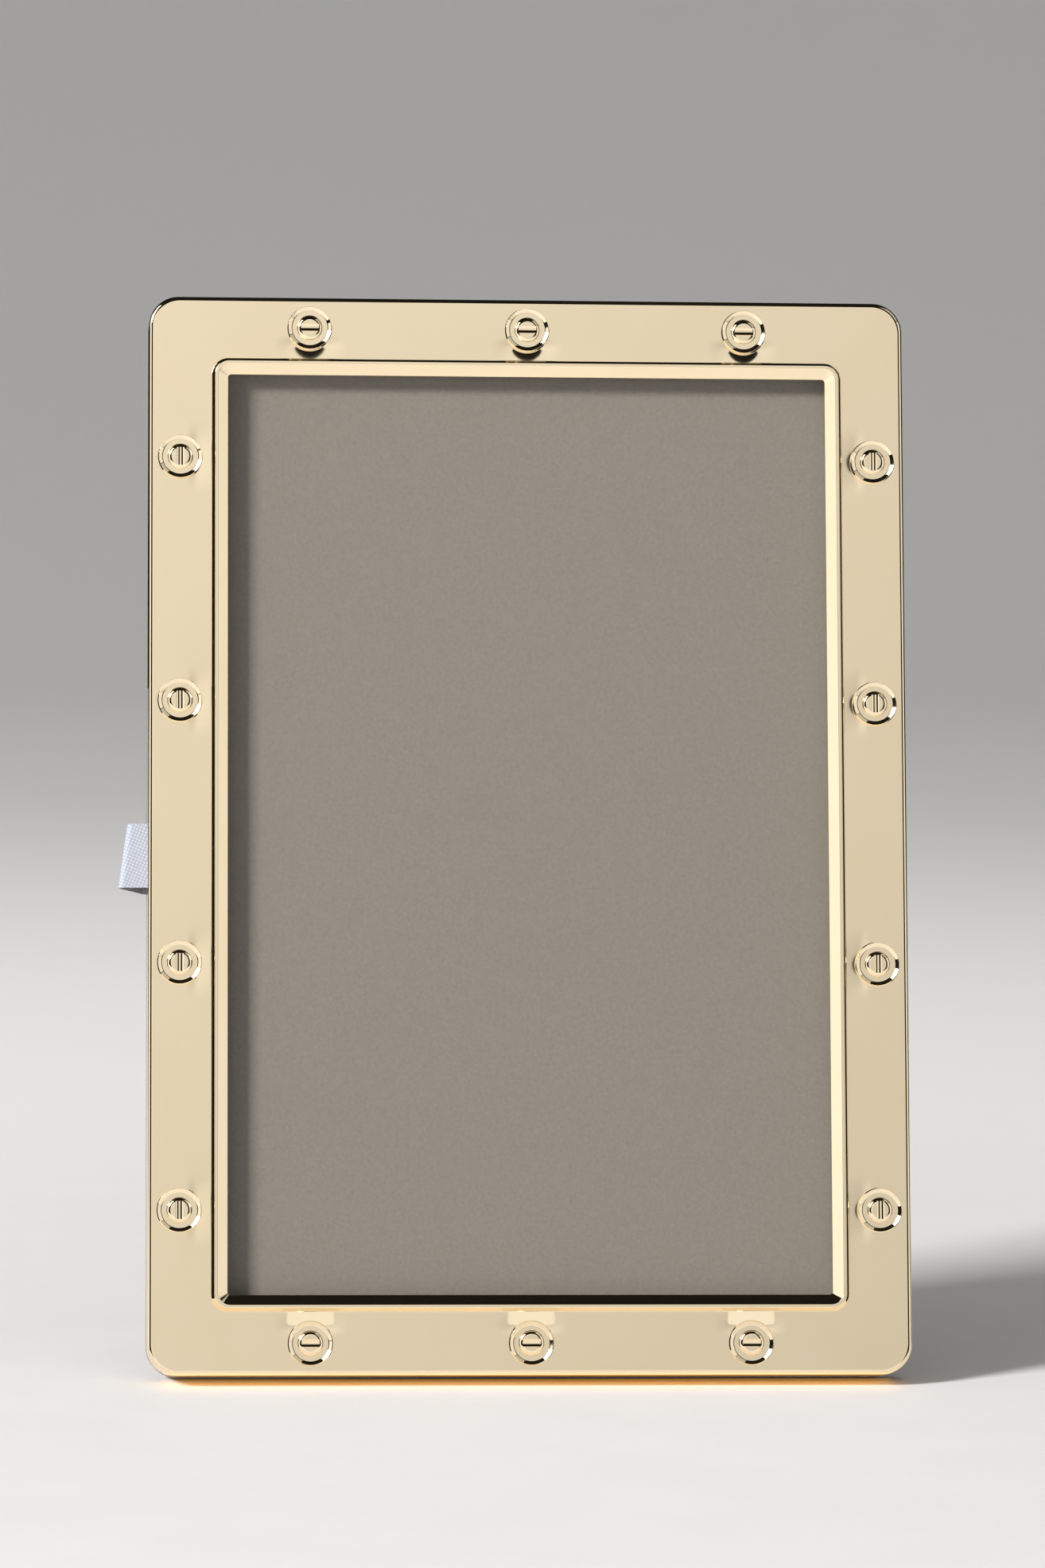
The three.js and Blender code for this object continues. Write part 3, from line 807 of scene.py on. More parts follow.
@dataclass(frozen=True)
class WovenRibbon:
    """White ribbon woven in a fine twill, with the slants of its ribs in degrees."""

    name: str = "white_ribbon_twill_woven"
    colour: str = "#C4C9D5"
    # The hollow colour is painted shade in the recesses between the threads.
    hollow: str = "#9BA1B0"
    thread: float = 0.5
    knot: float = 0.05
    fullness: float = 0.6
    slants: Point2 = (22.0, -68.0)

    def make(self) -> Material:
        """Builds the material.

        Returns:
            The material.
        """
        surface = Surface(self.name)
        # Two sets of slanting ribs cross as a fine twill: raised knots in the ribbon's white, with the
        # hollows between them painted darker as shade.
        # A wave texture repeats after 2 pi / 20 of its scale, and the strip's coordinates are in millimetres.
        scale = 2 * math.pi / (20 * self.thread)
        waves = []
        for slant in self.slants:
            turn = {"Vector": surface.unwrapped, "Rotation": (0.0, 0.0, math.radians(slant))}
            turned = surface.add("ShaderNodeMapping", turn)
            ribs = {"Vector": turned, "Scale": scale, "Distortion": 0.4, "Detail": 1.0}
            wave = surface.add("ShaderNodeTexWave", ribs, wave_type="BANDS", bands_direction="X")
            waves.append(wave.outputs["Fac"])
        crossed = surface.add("ShaderNodeMath", {0: waves[0], 1: waves[1]}, operation="MULTIPLY")
        knots = surface.add("ShaderNodeMath", {0: crossed, 1: self.fullness}, operation="POWER")
        return surface.finished(
            (knots, self.hollow, self.colour),
            (knots, self.knot, 0.7),
            {"Roughness": 0.55, "Sheen Weight": 0.25, "Sheen Roughness": 0.4},
        )


@dataclass(frozen=True)
class RolledBrass:
    """Brass plating over cold-rolled sheet steel."""

    name: str = "brass_plate_cold_rolled"
    colour: str = "#DCC083"
    dull: str = "#BFA066"
    roughness: Point2 = (0.22, 0.38)
    grain: float = 0.5
    grain_depth: float = 0.006
    stain: float = 6.0
    rolled: Point3 = (0.06, 1.0, 1.0)

    def make(self) -> Material:
        """Builds the material.

        Returns:
            The material.
        """
        surface = Surface(self.name)
        # The rolls leave a fine grain along the sheet, which draws the reflection out across it.
        along = surface.add("ShaderNodeMapping", {"Vector": surface.place, "Scale": self.rolled})
        grain, stain = (
            surface.add("ShaderNodeTexNoise", {"Vector": place, "Scale": per_metre(size), "Detail": detail})
            for place, size, detail in ((along, self.grain, 3.0), (surface.place, self.stain, 2.0))
        )
        mottle = surface.add("ShaderNodeMapRange", {"Value": stain, **NOISE_MIDDLE})
        low, high = self.roughness
        gloss = {"Value": grain, **NOISE_MIDDLE, "To Min": low, "To Max": high}
        return surface.finished(
            (mottle, self.colour, self.dull),
            (grain, self.grain_depth, 0.6),
            {"Metallic": 1.0, "Roughness": surface.add("ShaderNodeMapRange", gloss)},
        )


@dataclass(frozen=True)
class StudioFloor:
    """Pale painted table top, with distances from the middle in metres."""

    name: str = "pale_table_rolled_paint"
    colour: str = "#EFEDEC"
    shade: str = "#E9E7E6"
    # Painted light: a lighter ring round the frame, and a darker colour far out for the falloff of light.
    painted_light_ring: str = "#F6F5F4"
    far: str = "#DBDAD9"
    rise: Point2 = (0.1, 0.4)
    fade: Point2 = (0.5, 1.25)
    nap: float = 25.0

    def make(self) -> Material:
        """Builds the material.

        Returns:
            The material.
        """
        surface = Surface(self.name)
        # A roller leaves a soft, wide mottle. Round the middle the paint is lighter, a painted pool of light,
        # and far out it is darker, painted falloff of light.
        rolled = {"Vector": surface.place, "Scale": per_metre(self.nap), "Detail": 2.0}
        tone = {0: surface.add("ShaderNodeTexNoise", rolled), 6: linear(self.colour), 7: linear(self.shade)}
        colour = surface.add("ShaderNodeMix", tone, data_type="RGBA")
        away = surface.add("ShaderNodeVectorMath", {0: surface.place}, operation="LENGTH").outputs["Value"]
        for (start, end), paint in ((self.rise, self.painted_light_ring), (self.fade, self.far)):
            ring = {"Value": away, "From Min": start, "From Max": end}
            share = surface.add("ShaderNodeMapRange", ring, interpolation_type="SMOOTHSTEP")
            tone = {0: share, 6: colour, 7: linear(paint)}
            colour = surface.add("ShaderNodeMix", tone, data_type="RGBA")
        fill_inputs(surface.shader, {"Base Color": colour, "Roughness": 0.75, "Specular IOR Level": 0.2})
        return surface.material


# Pieces


def add_piece(
    name: str, mesh: Mesh, body: Body, nodes: Sequence[str], finish: Material
) -> Object:
    """Puts a finished mesh into the scene in place of CAD nodes.

    Args:
        name: Name of the piece.
        mesh: Its mesh in the model's frame.
        body: Body it rides on.
        nodes: CAD nodes it stands for.
        finish: Its material.

    Returns:
        The new object.
    """
    if not mesh.materials:
        mesh.materials.append(finish)
    made = link(name, mesh)
    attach(made, body.value)
    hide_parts(*nodes)
    log.info("%s: %d faces for %s", name, len(mesh.polygons), ", ".join(nodes[:3]))
    return made


def dress_node(node: str, finish: Material) -> Object:
    """Gives a CAD node that stays its material.

    Args:
        node: Name of the node.
        finish: Its material.

    Returns:
        The node's object.
    """
    kept = frame["nodes"][node]
    kept.data.materials.clear()
    kept.data.materials.append(finish)
    log.info("%s: kept as packed", node)
    return kept


@dataclass(frozen=True)
class StudPlan:
    """Where the studs stand, about the middle of the face."""

    inset: float = 5.0
    row_spacing: float = 34.8
    near_height: float = 20.85
    far_height: float = 59.9

    @property
    def across(self) -> Point3:
        """Places along a row."""
        return (-self.row_spacing, 0.0, self.row_spacing)

    @property
    def upwards(self) -> tuple[float, ...]:
        """Places along a column, from the top."""
        return (self.far_height, self.near_height, -self.near_height, -self.far_height)

    def places(self, width: float, height: float) -> list[tuple[float, float, bool]]:
        """Places of the studs in the order of their CAD numbers.

        Args:
            width: Width of the front.
            height: Height of the front.

        Returns:
            For each stud its x, its z and whether its slot stands upright.
        """
        side = width / 2 - self.inset
        end = height / 2 - self.inset
        return [
            *((x, end, False) for x in self.across),
            *((side, z, True) for z in self.upwards),
            *((x, -end, False) for x in self.across),
            *((-side, z, True) for z in self.upwards),
        ]


@dataclass(frozen=True)
class FrontSizes:
    """Sizes of the cast front: insets from its outline, depths behind its face, fillets and corners."""

    width: float = 120.8
    height: float = 171.6
    depth: float = 6.0
    face_thickness: float = 1.8
    outer_wall: float = 2.0
    channel: float = 7.7
    rebate: float = 9.2
    seat_depth: float = 1.0
    ridge_foot: float = 10.0
    crest_outer: float = 10.5
    crest_inner: float = 11.0
    ridge_height: float = 1.5
    sight: float = 12.6
    sight_front: float = -0.1
    edge_fillet: float = 0.7
    foot_fillet: float = 0.08
    crest_fillet: float = 0.12
    sight_fillet: float = 0.1
    seat_fillet: float = 0.05
    rear_fillet: float = 0.25
    hollow_fillet: float = 0.4
    outer_corner: float = 4.8
    foot_corner: float = 2.7
    crest_corners: Point2 = (2.2, 2.0)
    sight_corner: float = 0.5
    rebate_corner: float = 1.0
    channel_corner: float = 2.5
    wall_corner: float = 2.8
    face_start: float = 1.0
    face_step: float = 0.35
    face_rows: int = 26
    corner_steps: int = 18


def eased(value: float, start: float, end: float) -> float:
    """Smooth step from nothing at the start to one at the end."""
    share = min(max((value - start) / (end - start), 0.0), 1.0)
    return share * share * (3 - 2 * share)


@dataclass(frozen=True)
class Hollow:
    """Shallow hollow of the face between a stud and the ridge, as the metal shrinks there when it cools."""

    row_pull: float = 0.385
    column_pull: float = 0.34
    gap: float = 5.0
    ends: Point2 = (1.2, 2.8)
    sides: Point2 = (3.0, 6.0)
    steps: int = 16

    def depth(self, upright: bool, along: float, inward: float) -> float:
        """How far the face lies behind its plane.

        Args:
            upright: Whether the stud stands in a column.
            along: Distance from the middle of the stud along the strip.
            inward: Distance from the middle of the stud towards the ridge.

        Returns:
            The depth, nothing at the ridge and on the outer side of the stud.
        """
        if inward <= self.ends[0] or inward >= self.gap or abs(along) >= self.sides[1]:
            return 0.0
        pull = self.column_pull if upright else self.row_pull
        drawn = math.log((along**2 + self.gap**2) / (along**2 + inward**2)) / 2
        return pull * drawn * eased(inward, *self.ends) * (1 - eased(abs(along), *self.sides))

    def offsets(self) -> list[float]:
        """Distances along a strip, both ways from a stud, at which the face needs points."""
        return [self.sides[1] * step / self.steps for step in range(-self.steps, self.steps + 1)]


@dataclass(frozen=True)
class CastFront:
    """Gold front: rounded outer edge, flat face, raised ridge with a bevel to the window, hollow behind."""

    axes: Axes
    sizes: FrontSizes
    studs: StudPlan
    hollow: Hollow

    def profile(self) -> list[Point3]:
        """Closed profile of the casting.

        Returns:
            Points as (inset, depth, corner radius of the outline).
        """
        s = self.sizes
        face_corner = s.outer_corner - s.edge_fillet
        face = []
        for row in range(s.face_rows):
            inset = s.face_start + s.face_step * row
            share = (inset - s.edge_fillet) / (s.ridge_foot - s.edge_fillet)
            face.append(Corner(inset, 0.0, 0.0, face_corner + (s.foot_corner - face_corner) * share))
        return rounded_profile(
            [
                Corner(0.0, s.depth, s.rear_fillet, s.outer_corner),
                Corner(0.0, 0.0, s.edge_fillet, s.outer_corner),
                *face,
                Corner(s.ridge_foot, 0.0, s.foot_fillet, s.foot_corner),
                Corner(s.crest_outer, -s.ridge_height, s.crest_fillet, s.crest_corners[0]),
                Corner(s.crest_inner, -s.ridge_height, s.crest_fillet, s.crest_corners[1]),
                Corner(s.sight, s.sight_front, s.sight_fillet, s.sight_corner),
                Corner(s.sight, s.seat_depth, s.seat_fillet, s.sight_corner),
                Corner(s.rebate, s.seat_depth, s.sight_fillet, s.rebate_corner),
                Corner(s.rebate, s.depth, s.rear_fillet, s.rebate_corner),
                Corner(s.channel, s.depth, s.rear_fillet, s.channel_corner),
                Corner(s.channel, s.face_thickness, s.hollow_fillet, s.channel_corner),
                Corner(s.outer_wall, s.face_thickness, s.hollow_fillet, s.wall_corner),
                Corner(s.outer_wall, s.depth, s.rear_fillet, s.wall_corner),
            ],
            closed=True,
        )

    def stations(self) -> tuple[list[float], list[float]]:
        """Where the face needs points for the hollows.

        Returns:
            Coordinates along the rows and along the columns.
        """
        offsets = self.hollow.offsets()
        end = self.sizes.height / 2 - self.sizes.sight
        rows = sorted(x + offset for x in self.studs.across for offset in offsets)
        columns = sorted(z + offset for z in self.studs.upwards for offset in offsets)
        return rows, [z for z in columns if abs(z) < end]

    def drawn_in(self, x: float, z: float) -> float:
        """Depth of all hollows together.

        Args:
            x: Place on the face from left to right.
            z: Place on the face from below to above.

        Returns:
            The depth behind the plane of the face.
        """
        total = 0.0
        for stud_x, stud_z, upright in self.studs.places(self.sizes.width, self.sizes.height):
            if upright:
                total += self.hollow.depth(upright, z - stud_z, math.copysign(1, stud_x) * (stud_x - x))
            else:
                total += self.hollow.depth(upright, x - stud_x, math.copysign(1, stud_z) * (stud_z - z))
        return total

    def build(self, finish: Material) -> None:
        """Builds the casting.

        Args:
            finish: Its gold.
        """
        s = self.sizes
        rows, columns = self.stations()
        stations = (rows[::-1], columns[::-1], rows, columns)
        rings = []
        for inset, depth, corner in self.profile():
            corners = rectangle(s.width / 2 - inset, s.height / 2 - inset)
            outline = rounded_polygon(corners, corner, s.corner_steps, stations)
            on_face = depth == 0.0 and inset < s.ridge_foot
            rings.append([(x, self.drawn_in(x, z) if on_face else depth, z) for x, z in outline])
        mesh = settle(loft(rings, closed=True), "front_casting", self.axes)
        add_piece("front_casting", mesh, Body.FRONT, ["front_frame"], finish)


@dataclass(frozen=True)
class StudSizes:
    """Sizes of a dished cup and its screw, with heights above the face."""

    foot_radius: float = 3.6
    rim_radius: float = 3.42
    rim_height: float = 0.64
    rim_rounding: float = 0.03
    dish_radius: float = 2.86
    dish_rounding: float = 0.45
    dish_floor: float = 0.3
    sunk: float = 0.2
    head_radius: float = 2.02
    head_sunk: float = 0.3
    head_foot: float = 0.39
    head_edge: float = 0.04
    head_height: float = 0.81
    shoulder: float = 1.727
    shoulder_rounding: float = 0.9
    slot_radius: float = 0.85
    slot_depth: float = 0.26
    slot_length: float = 2.84
    cup_arc_steps: int = 8
    head_arc_steps: int = 10
    hold: float = 0.02
    steps: int = 72


@dataclass(frozen=True)
class StudSet:
    """Fourteen dished cups, each with a button-headed slotted screw."""

    axes: Axes
    places: Sequence[tuple[float, float, bool]]
    sizes: StudSizes
    tree: ScatterTree

    def cup(self) -> Solid:
        """Turns one cup, whose wall leans in to the rim and whose dish falls gently to a flat floor.

        Returns:
            The cup, standing on the origin.
        """
        s = self.sizes
        corners = [
            Corner(0.0, -s.sunk),
            Corner(s.foot_radius, -s.sunk),
            Corner(s.rim_radius, s.rim_height, s.rim_rounding),
            Corner(s.dish_radius, s.dish_floor, s.dish_rounding),
            Corner(0.0, s.dish_floor),
        ]
        return lathe(corners, s.steps, s.cup_arc_steps, s.hold)

    def screw(self) -> Solid:
        """Turns one screw with a domed head, and cuts its round-bottomed slot.

        Returns:
            The screw, standing on the origin, with its slot along x.
        """
        s = self.sizes
        corners = [
            Corner(0.0, s.dish_floor - s.head_sunk),
            Corner(s.head_radius, s.dish_floor - s.head_sunk),
            Corner(s.head_radius, s.head_foot, s.head_edge),
            Corner(s.shoulder, s.head_height, s.shoulder_rounding),
            Corner(0.0, s.head_height),
        ]
        head = lathe(corners, s.steps, s.head_arc_steps, s.hold)
        half, above = s.slot_length / 2, s.head_height - s.slot_depth + s.slot_radius
        return carved(head, cuts=[bar_mesh(s.slot_radius, -half, half, depth=-above)])

    def build(self, finish: Material) -> None:
        """Builds the cups and the screws.

        Args:
            finish: Their gold.
        """
        still = [((x, 0.0, z), 0.0) for x, z, _ in self.places]
        turned = [((x, 0.0, z), math.pi / 2 if upright else 0.0) for x, z, upright in self.places]
        for name, template, places, node in (
            ("stud_cups", self.cup(), still, "stud_cup"),
            ("stud_screws", self.screw(), turned, "slotted_screw"),
        ):
            mesh = self.tree.scatter(name, template, places, finish, self.axes)
            nodes = [f"{node}_{number:02d}" for number in range(1, len(places) + 1)]
            add_piece(name, mesh, Body.FRONT, nodes, finish)


@dataclass(frozen=True)
class PictureStack:
    """Glass, bare card and packing card in the rebate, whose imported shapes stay."""

    glass: FloatGlass = FloatGlass()
    card: PressedCard = PressedCard("taupe_card_pressed", "#877E76", "#7D756D")
    packing: PressedCard = PressedCard(
        "grey_packing_card_pressed", "#BDB5A9", "#A79F93", fibre=0.9, tooth=0.06
    )

    def dress(self) -> None:
        """Gives the stack its glass, which throws no shadow on the card, and its cards."""
        pane = dress_node("glass_pane", self.glass.make())
        pane.visible_shadow = False
        pane.visible_diffuse = False
        dress_node("photo_card", self.card.make())
        dress_node("backing_card", self.packing.make())


@dataclass(frozen=True)
class WrapSizes:
    """Sizes of velvet wrapped round a board: depths of its faces, and insets from its outline."""

    front: float
    rear: float
    corner: float
    turn_in: float
    lap: float
    inner_corner: float
    skin: float = 0.55
    edge: float = 0.9
    hem: float = 0.2

    def profile(self) -> list[Point3]:
        """Open profile of the velvet, along its inner side and back along its outer side.

        Returns:
            Points as (inset, depth, corner radius of the outline).
        """
        inner, tight = self.edge - self.skin, self.corner - self.skin
        corners = [
            Corner(self.lap, self.rear - self.skin, 0.0, self.inner_corner),
            Corner(self.skin, self.rear - self.skin, inner, tight),
            Corner(self.skin, self.front + self.skin, inner, tight),
            Corner(self.turn_in, self.front + self.skin, self.hem, self.inner_corner),
            Corner(self.turn_in, self.front, self.hem, self.inner_corner),
            Corner(0.0, self.front, self.edge, self.corner),
            Corner(0.0, self.rear, self.edge, self.corner),
            Corner(self.lap, self.rear, 0.0, self.inner_corner),
        ]
        return rounded_profile(corners, closed=False)

    def cut(self, width: float, height: float) -> Point2:
        """Flat size in metres of the velvet that wraps a board of a given size."""
        more = 2 * (self.rear - self.front + self.turn_in)
        return (width + more) * MM, (height + more) * MM


@dataclass(frozen=True)
class VelvetBack:
    """Velvet stretched over the back board and turned in over its front; the boards stay as packed."""

    axes: Axes
    front: FrontSizes
    wrap: WrapSizes = WrapSizes(6.25, 10.7, FrontSizes.outer_corner, turn_in=12.0, lap=6.0, inner_corner=1.0)
    corner_steps: int = 14

    def build(self, velvet: Material) -> None:
        """Builds the velvet wrap.

        Args:
            velvet: Its material.
        """
        f = self.front
        rings = []
        for inset, depth, corner in self.wrap.profile():
            corners = rectangle(f.width / 2 - inset, f.height / 2 - inset)
            rings.append([(x, depth, z) for x, z in rounded_polygon(corners, corner, self.corner_steps)])
        mesh = settle(loft(rings, closed=False), "back_wrap", self.axes)
        wrap = add_piece("back_wrap", mesh, Body.BACK, ["back_velvet"], velvet)
        self.wrap.cut(f.width, f.height)

    def dress(self, board: Material) -> None:
        """Gives the boards of the back their fibreboard."""
        for node in ("plug_board", "back_board"):
            dress_node(node, board)


@dataclass(frozen=True)
class RibbonSizes:
    """Sizes of the ribbon loop, along its path from the seam round the left edge to behind the back."""

    width: float = 10.2
    thickness: float = 0.22
    drop: float = 3.3
    tuck: float = 5.0
    seam: float = 6.1
    exit_gap: float = 0.2
    exit_fold: float = 0.1
    top_reach: float = 3.7
    bottom_reach: float = 5.7
    rise: float = 0.05
    fold: float = 0.8
    rear_gap: float = 0.75
    rear_step: float = 0.3
    rear_fold: float = 0.5
    rear_lap: float = 0.4
    behind: float = 10.98
    tail: float = 7.0
    sag: float = 0.7
    steps_across: int = 14
    arc_steps: int = 10
    hold: float = 0.05


@dataclass(frozen=True)
class RibbonPull:
    """White ribbon loop that comes out of the seam at the left, folds on a slant and goes behind the back."""

    axes: Axes
    sizes: RibbonSizes
    edge: float

    def line(self, share: float) -> list[Vector]:
        """Line of the ribbon at one height.

        Args:
            share: Share of the ribbon's width, from its top edge.

        Returns:
            Points as x and depth, from the seam to the tail.
        """
        s = self.sizes
        reach = s.top_reach + (s.bottom_reach - s.top_reach) * share
        corners = [
            Corner(self.edge + s.tuck, s.seam),
            Corner(self.edge - s.exit_gap, s.seam, s.exit_fold),
            Corner(self.edge - reach, s.seam + s.rise, s.fold),
            Corner(self.edge - s.rear_gap, s.behind - s.rear_step, s.rear_fold),
            Corner(self.edge + s.rear_lap, s.behind, s.rear_fold),
            Corner(self.edge + s.tail, s.behind),
        ]
        profile = rounded_profile(corners, closed=False, steps=s.arc_steps, hold=s.hold)
        return [Vector((x, y)) for x, y, _ in profile]

    def build(self, finish: Material) -> None:
        """Builds the ribbon as a thin closed strip with its length and width as texture coordinates.

        Args:
            finish: Its woven material.
        """
        s = self.sizes
        mesh = bmesh.new()
        layer = mesh.loops.layers.uv.new("strip")
        grids: tuple[list[list[Vert]], ...] = ([], [])
        flat: dict[Vert, Point2] = {}
        for row in range(s.steps_across + 1):
            share = row / s.steps_across
            line = self.line(share)
            run = [0.0]
            for before, after in zip(line, line[1:]):
                run.append(run[-1] + (after - before).length)
            fold_at = min(range(len(line)), key=lambda i: line[i].x)
            for grid in grids:
                grid.append([])
            for i, point in enumerate(line):
                along = (line[min(i + 1, len(line) - 1)] - line[max(i - 1, 0)]).normalized()
                normal = Vector((-along.y, along.x)) * (s.thickness / 2)
                behind = max(run[i] - run[fold_at], 0.0) / (run[-1] - run[fold_at])
                z = s.width / 2 - s.drop - s.width * share - s.sag * min(behind * 2, 1.0)
                for grid, side in zip(grids, (1, -1)):
                    vert = mesh.verts.new((*(point + normal * side), z))
                    grid[row].append(vert)
                    flat[vert] = (run[i], s.width * share)
        self.skin(mesh, grids)
        for face in mesh.faces:
            for loop in face.loops:
                loop[layer].uv = flat[loop.vert]
        made = settle(mesh, "ribbon_loop", self.axes)
        loop = add_piece("ribbon_loop", made, Body.BACK, ["pull_ribbon"], finish)

    def skin(self, mesh: Solid, grids: Sequence[Sequence[Sequence[Vert]]]) -> None:
        """Puts faces over both sides and round the edges of the strip.

        Args:
            mesh: Mesh that holds the points.
            grids: Points of the two sides, by row and column.
        """
        front, rear = grids
        for grid in grids:
            for row, following in zip(grid, grid[1:]):
                bridge(mesh, row, following, ring=False)
        for end in (0, -1):
            bridge(mesh, front[end], rear[end], ring=False)
            bridge(mesh, [row[end] for row in front], [row[end] for row in rear], ring=False)


@dataclass(frozen=True)
class HingeSizes:
    """Sizes of the strut hinge, about its axis."""

    knuckle: float = 1.5
    pin: float = 0.75
    pin_edge: float = 0.15
    play: float = 0.1
    leaf: float = 0.8
    leaf_seat: float = 0.02
    leaf_corner: float = 2.0
    corner_steps: int = 8
    width: float = 28.0
    fixed_length: float = 20.0
    moving_length: float = 22.0
    middle: float = 9.0
    tongue_width: float = 7.0
    tongue_length: float = 6.0
    gap: float = 0.3
    overlap: float = 1.0
    edge: float = 0.12
    rivet_spread: float = 9.0
    rivet_distance: float = 13.0
    rivet_radius: float = 2.2
    rivet_wall: float = 0.28
    rivet_height: float = 0.8
    crown_radius: float = 1.32
    crown_height: float = 0.72
    rivet_fillets: Point3 = (0.08, 0.15, 0.8)
    rivet_steps: int = 48
    shank_radius: float = 1.0
    back_shank: float = 4.4
    strut_shank: float = 6.1
    strut_seat: float = 4.68

    @property
    def leaf_front(self) -> float:
        """Depth of the front of both leaves."""
        return -self.knuckle + self.leaf_seat


@dataclass(frozen=True)
class StrutHinge:
    """Pressed hinge: one leaf on the back, one on the strut with a stop tongue, a pin and four rivets."""

    fixed: Axes
    moving: Axes
    sizes: HingeSizes
    tree: ScatterTree

    def sheet(self, near: float, far: float) -> Solid:
        """Flat sheet of a leaf with its corners rounded.

        Args:
            near: Height of the edge beside the axis.
            far: Height of the far edge.

        Returns:
            The sheet between the front and the rear of the leaf.
        """
        s = self.sizes
        half = s.width / 2
        low, high = sorted((near, far))
        corners = ((half, high), (-half, high), (-half, low), (half, low))
        outline = rounded_polygon(corners, s.leaf_corner, s.corner_steps)
        depths = (s.leaf_front, s.leaf_front + s.leaf)
        return loft([[(x, y, z) for x, z in outline] for y in depths], closed=False)

    def finger(self, left: float, right: float, side: int) -> Solid:
        """Flat finger of a leaf that runs from its sheet to a knuckle.

        Args:
            left: Lowest x.
            right: Highest x.
            side: 1 if the sheet lies above the axis, -1 if below.

        Returns:
            The finger.
        """
        s = self.sizes
        low, high = sorted((0.0, side * (s.knuckle + s.gap + s.leaf_corner + s.overlap)))
        return box_mesh((left, s.leaf_front, low), (right, s.leaf_front + s.leaf, high))

    def bore(self) -> Solid:
        """Tool for the pin's bore through the knuckles of a leaf.

        Returns:
            A bar, longer than the hinge is wide.
        """
        s = self.sizes
        end = s.width / 2 + s.overlap
        return bar_mesh(s.pin + s.play, -end, end)

    def tongue(self) -> Solid:
        """Stop tongue of the moving leaf, which comes to lie along the fixed leaf when the strut opens.

        Returns:
            The tongue, turned to where it is in the open strut's axes.
        """
        s = self.sizes
        half, front = s.tongue_width / 2, -s.knuckle + s.leaf + s.gap
        made = box_mesh((-half, front, 0.0), (half, front + s.leaf, s.tongue_length))
        bmesh.ops.rotate(made, verts=made.verts, matrix=Matrix.Rotation(-strut_opening(), 3, "X"))
        return made

    def build(self, finish: Material) -> None:
        """Builds the two leaves, the pin and the rivets.

        Args:
            finish: Their brass.
        """
        s = self.sizes
        half, inner, clear = s.width / 2, s.middle / 2, s.knuckle + s.gap
        outer = ((-half, -inner - s.gap), (inner + s.gap, half))
        fixed = carved(
            self.sheet(clear, s.fixed_length),
            joined=[
                *(self.finger(left, right, 1) for left, right in outer),
                *(bar_mesh(s.knuckle, left, right) for left, right in outer),
            ],
            cuts=[self.bore()],
            bevel=s.edge,
        )
        moving = carved(
            self.sheet(-clear, -s.moving_length),
            joined=[self.finger(-inner, inner, -1), bar_mesh(s.knuckle, -inner, inner), self.tongue()],
            cuts=[self.bore()],
            bevel=s.edge,
        )
        pin = carved(bar_mesh(s.pin, -half, half), bevel=s.pin_edge)
        for name, solid, axes, body, node in (
            ("fixed_leaf", fixed, self.fixed, Body.BACK, "hinge_fixed_leaf"),
            ("moving_leaf", moving, self.moving, Body.STRUT, "hinge_moving_leaf"),
            ("pin", pin, self.fixed, Body.BACK, "hinge_pin"),
        ):
            mesh = settle(solid, name, axes)
            add_piece(name, mesh, body, [node], finish)
        self.rivets(finish)

    def rivets(self, finish: Material) -> None:
        """Builds the rivets, two for each body, with their heads towards the back.

        Args:
            finish: Their brass.
        """
        s = self.sizes
        for name, axes, body, side, seat, length, numbers in (
            ("back_rivets", self.fixed, Body.BACK, 1, -s.knuckle + s.leaf, s.back_shank, (1, 2)),
            ("strut_rivets", self.moving, Body.STRUT, -1, s.strut_seat, s.strut_shank, (3, 4)),
        ):
            corners = [
                Corner(0.0, length),
                Corner(s.shank_radius, length),
                Corner(s.shank_radius, 0.0),
                Corner(s.rivet_radius, 0.0, s.rivet_fillets[0]),
                Corner(s.rivet_radius, -s.rivet_wall, s.rivet_fillets[1]),
                Corner(s.crown_radius, -s.crown_height, s.rivet_fillets[2]),
                Corner(0.0, -s.rivet_height),
            ]
            template = lathe(corners, s.rivet_steps)
            places = [((x, seat, side * s.rivet_distance), 0.0) for x in (-s.rivet_spread, s.rivet_spread)]
            mesh = self.tree.scatter(name, template, places, finish, axes)
            add_piece(name, mesh, body, [f"hinge_rivet_{number}" for number in numbers], finish)


@dataclass(frozen=True)
class StrutSizes:
    """Sizes of the easel strut, about the hinge axis, with its taper in degrees on each side."""

    wrap: WrapSizes = WrapSizes(0.25, 4.7, 3.0, turn_in=7.0, lap=5.0, inner_corner=0.6)
    top: float = -2.5
    top_width: float = 32.0
    taper: float = 3.0
    corner_steps: int = 10

    @property
    def widening(self) -> float:
        """How far each side moves out for every millimetre down the strut."""
        return math.tan(math.radians(self.taper))


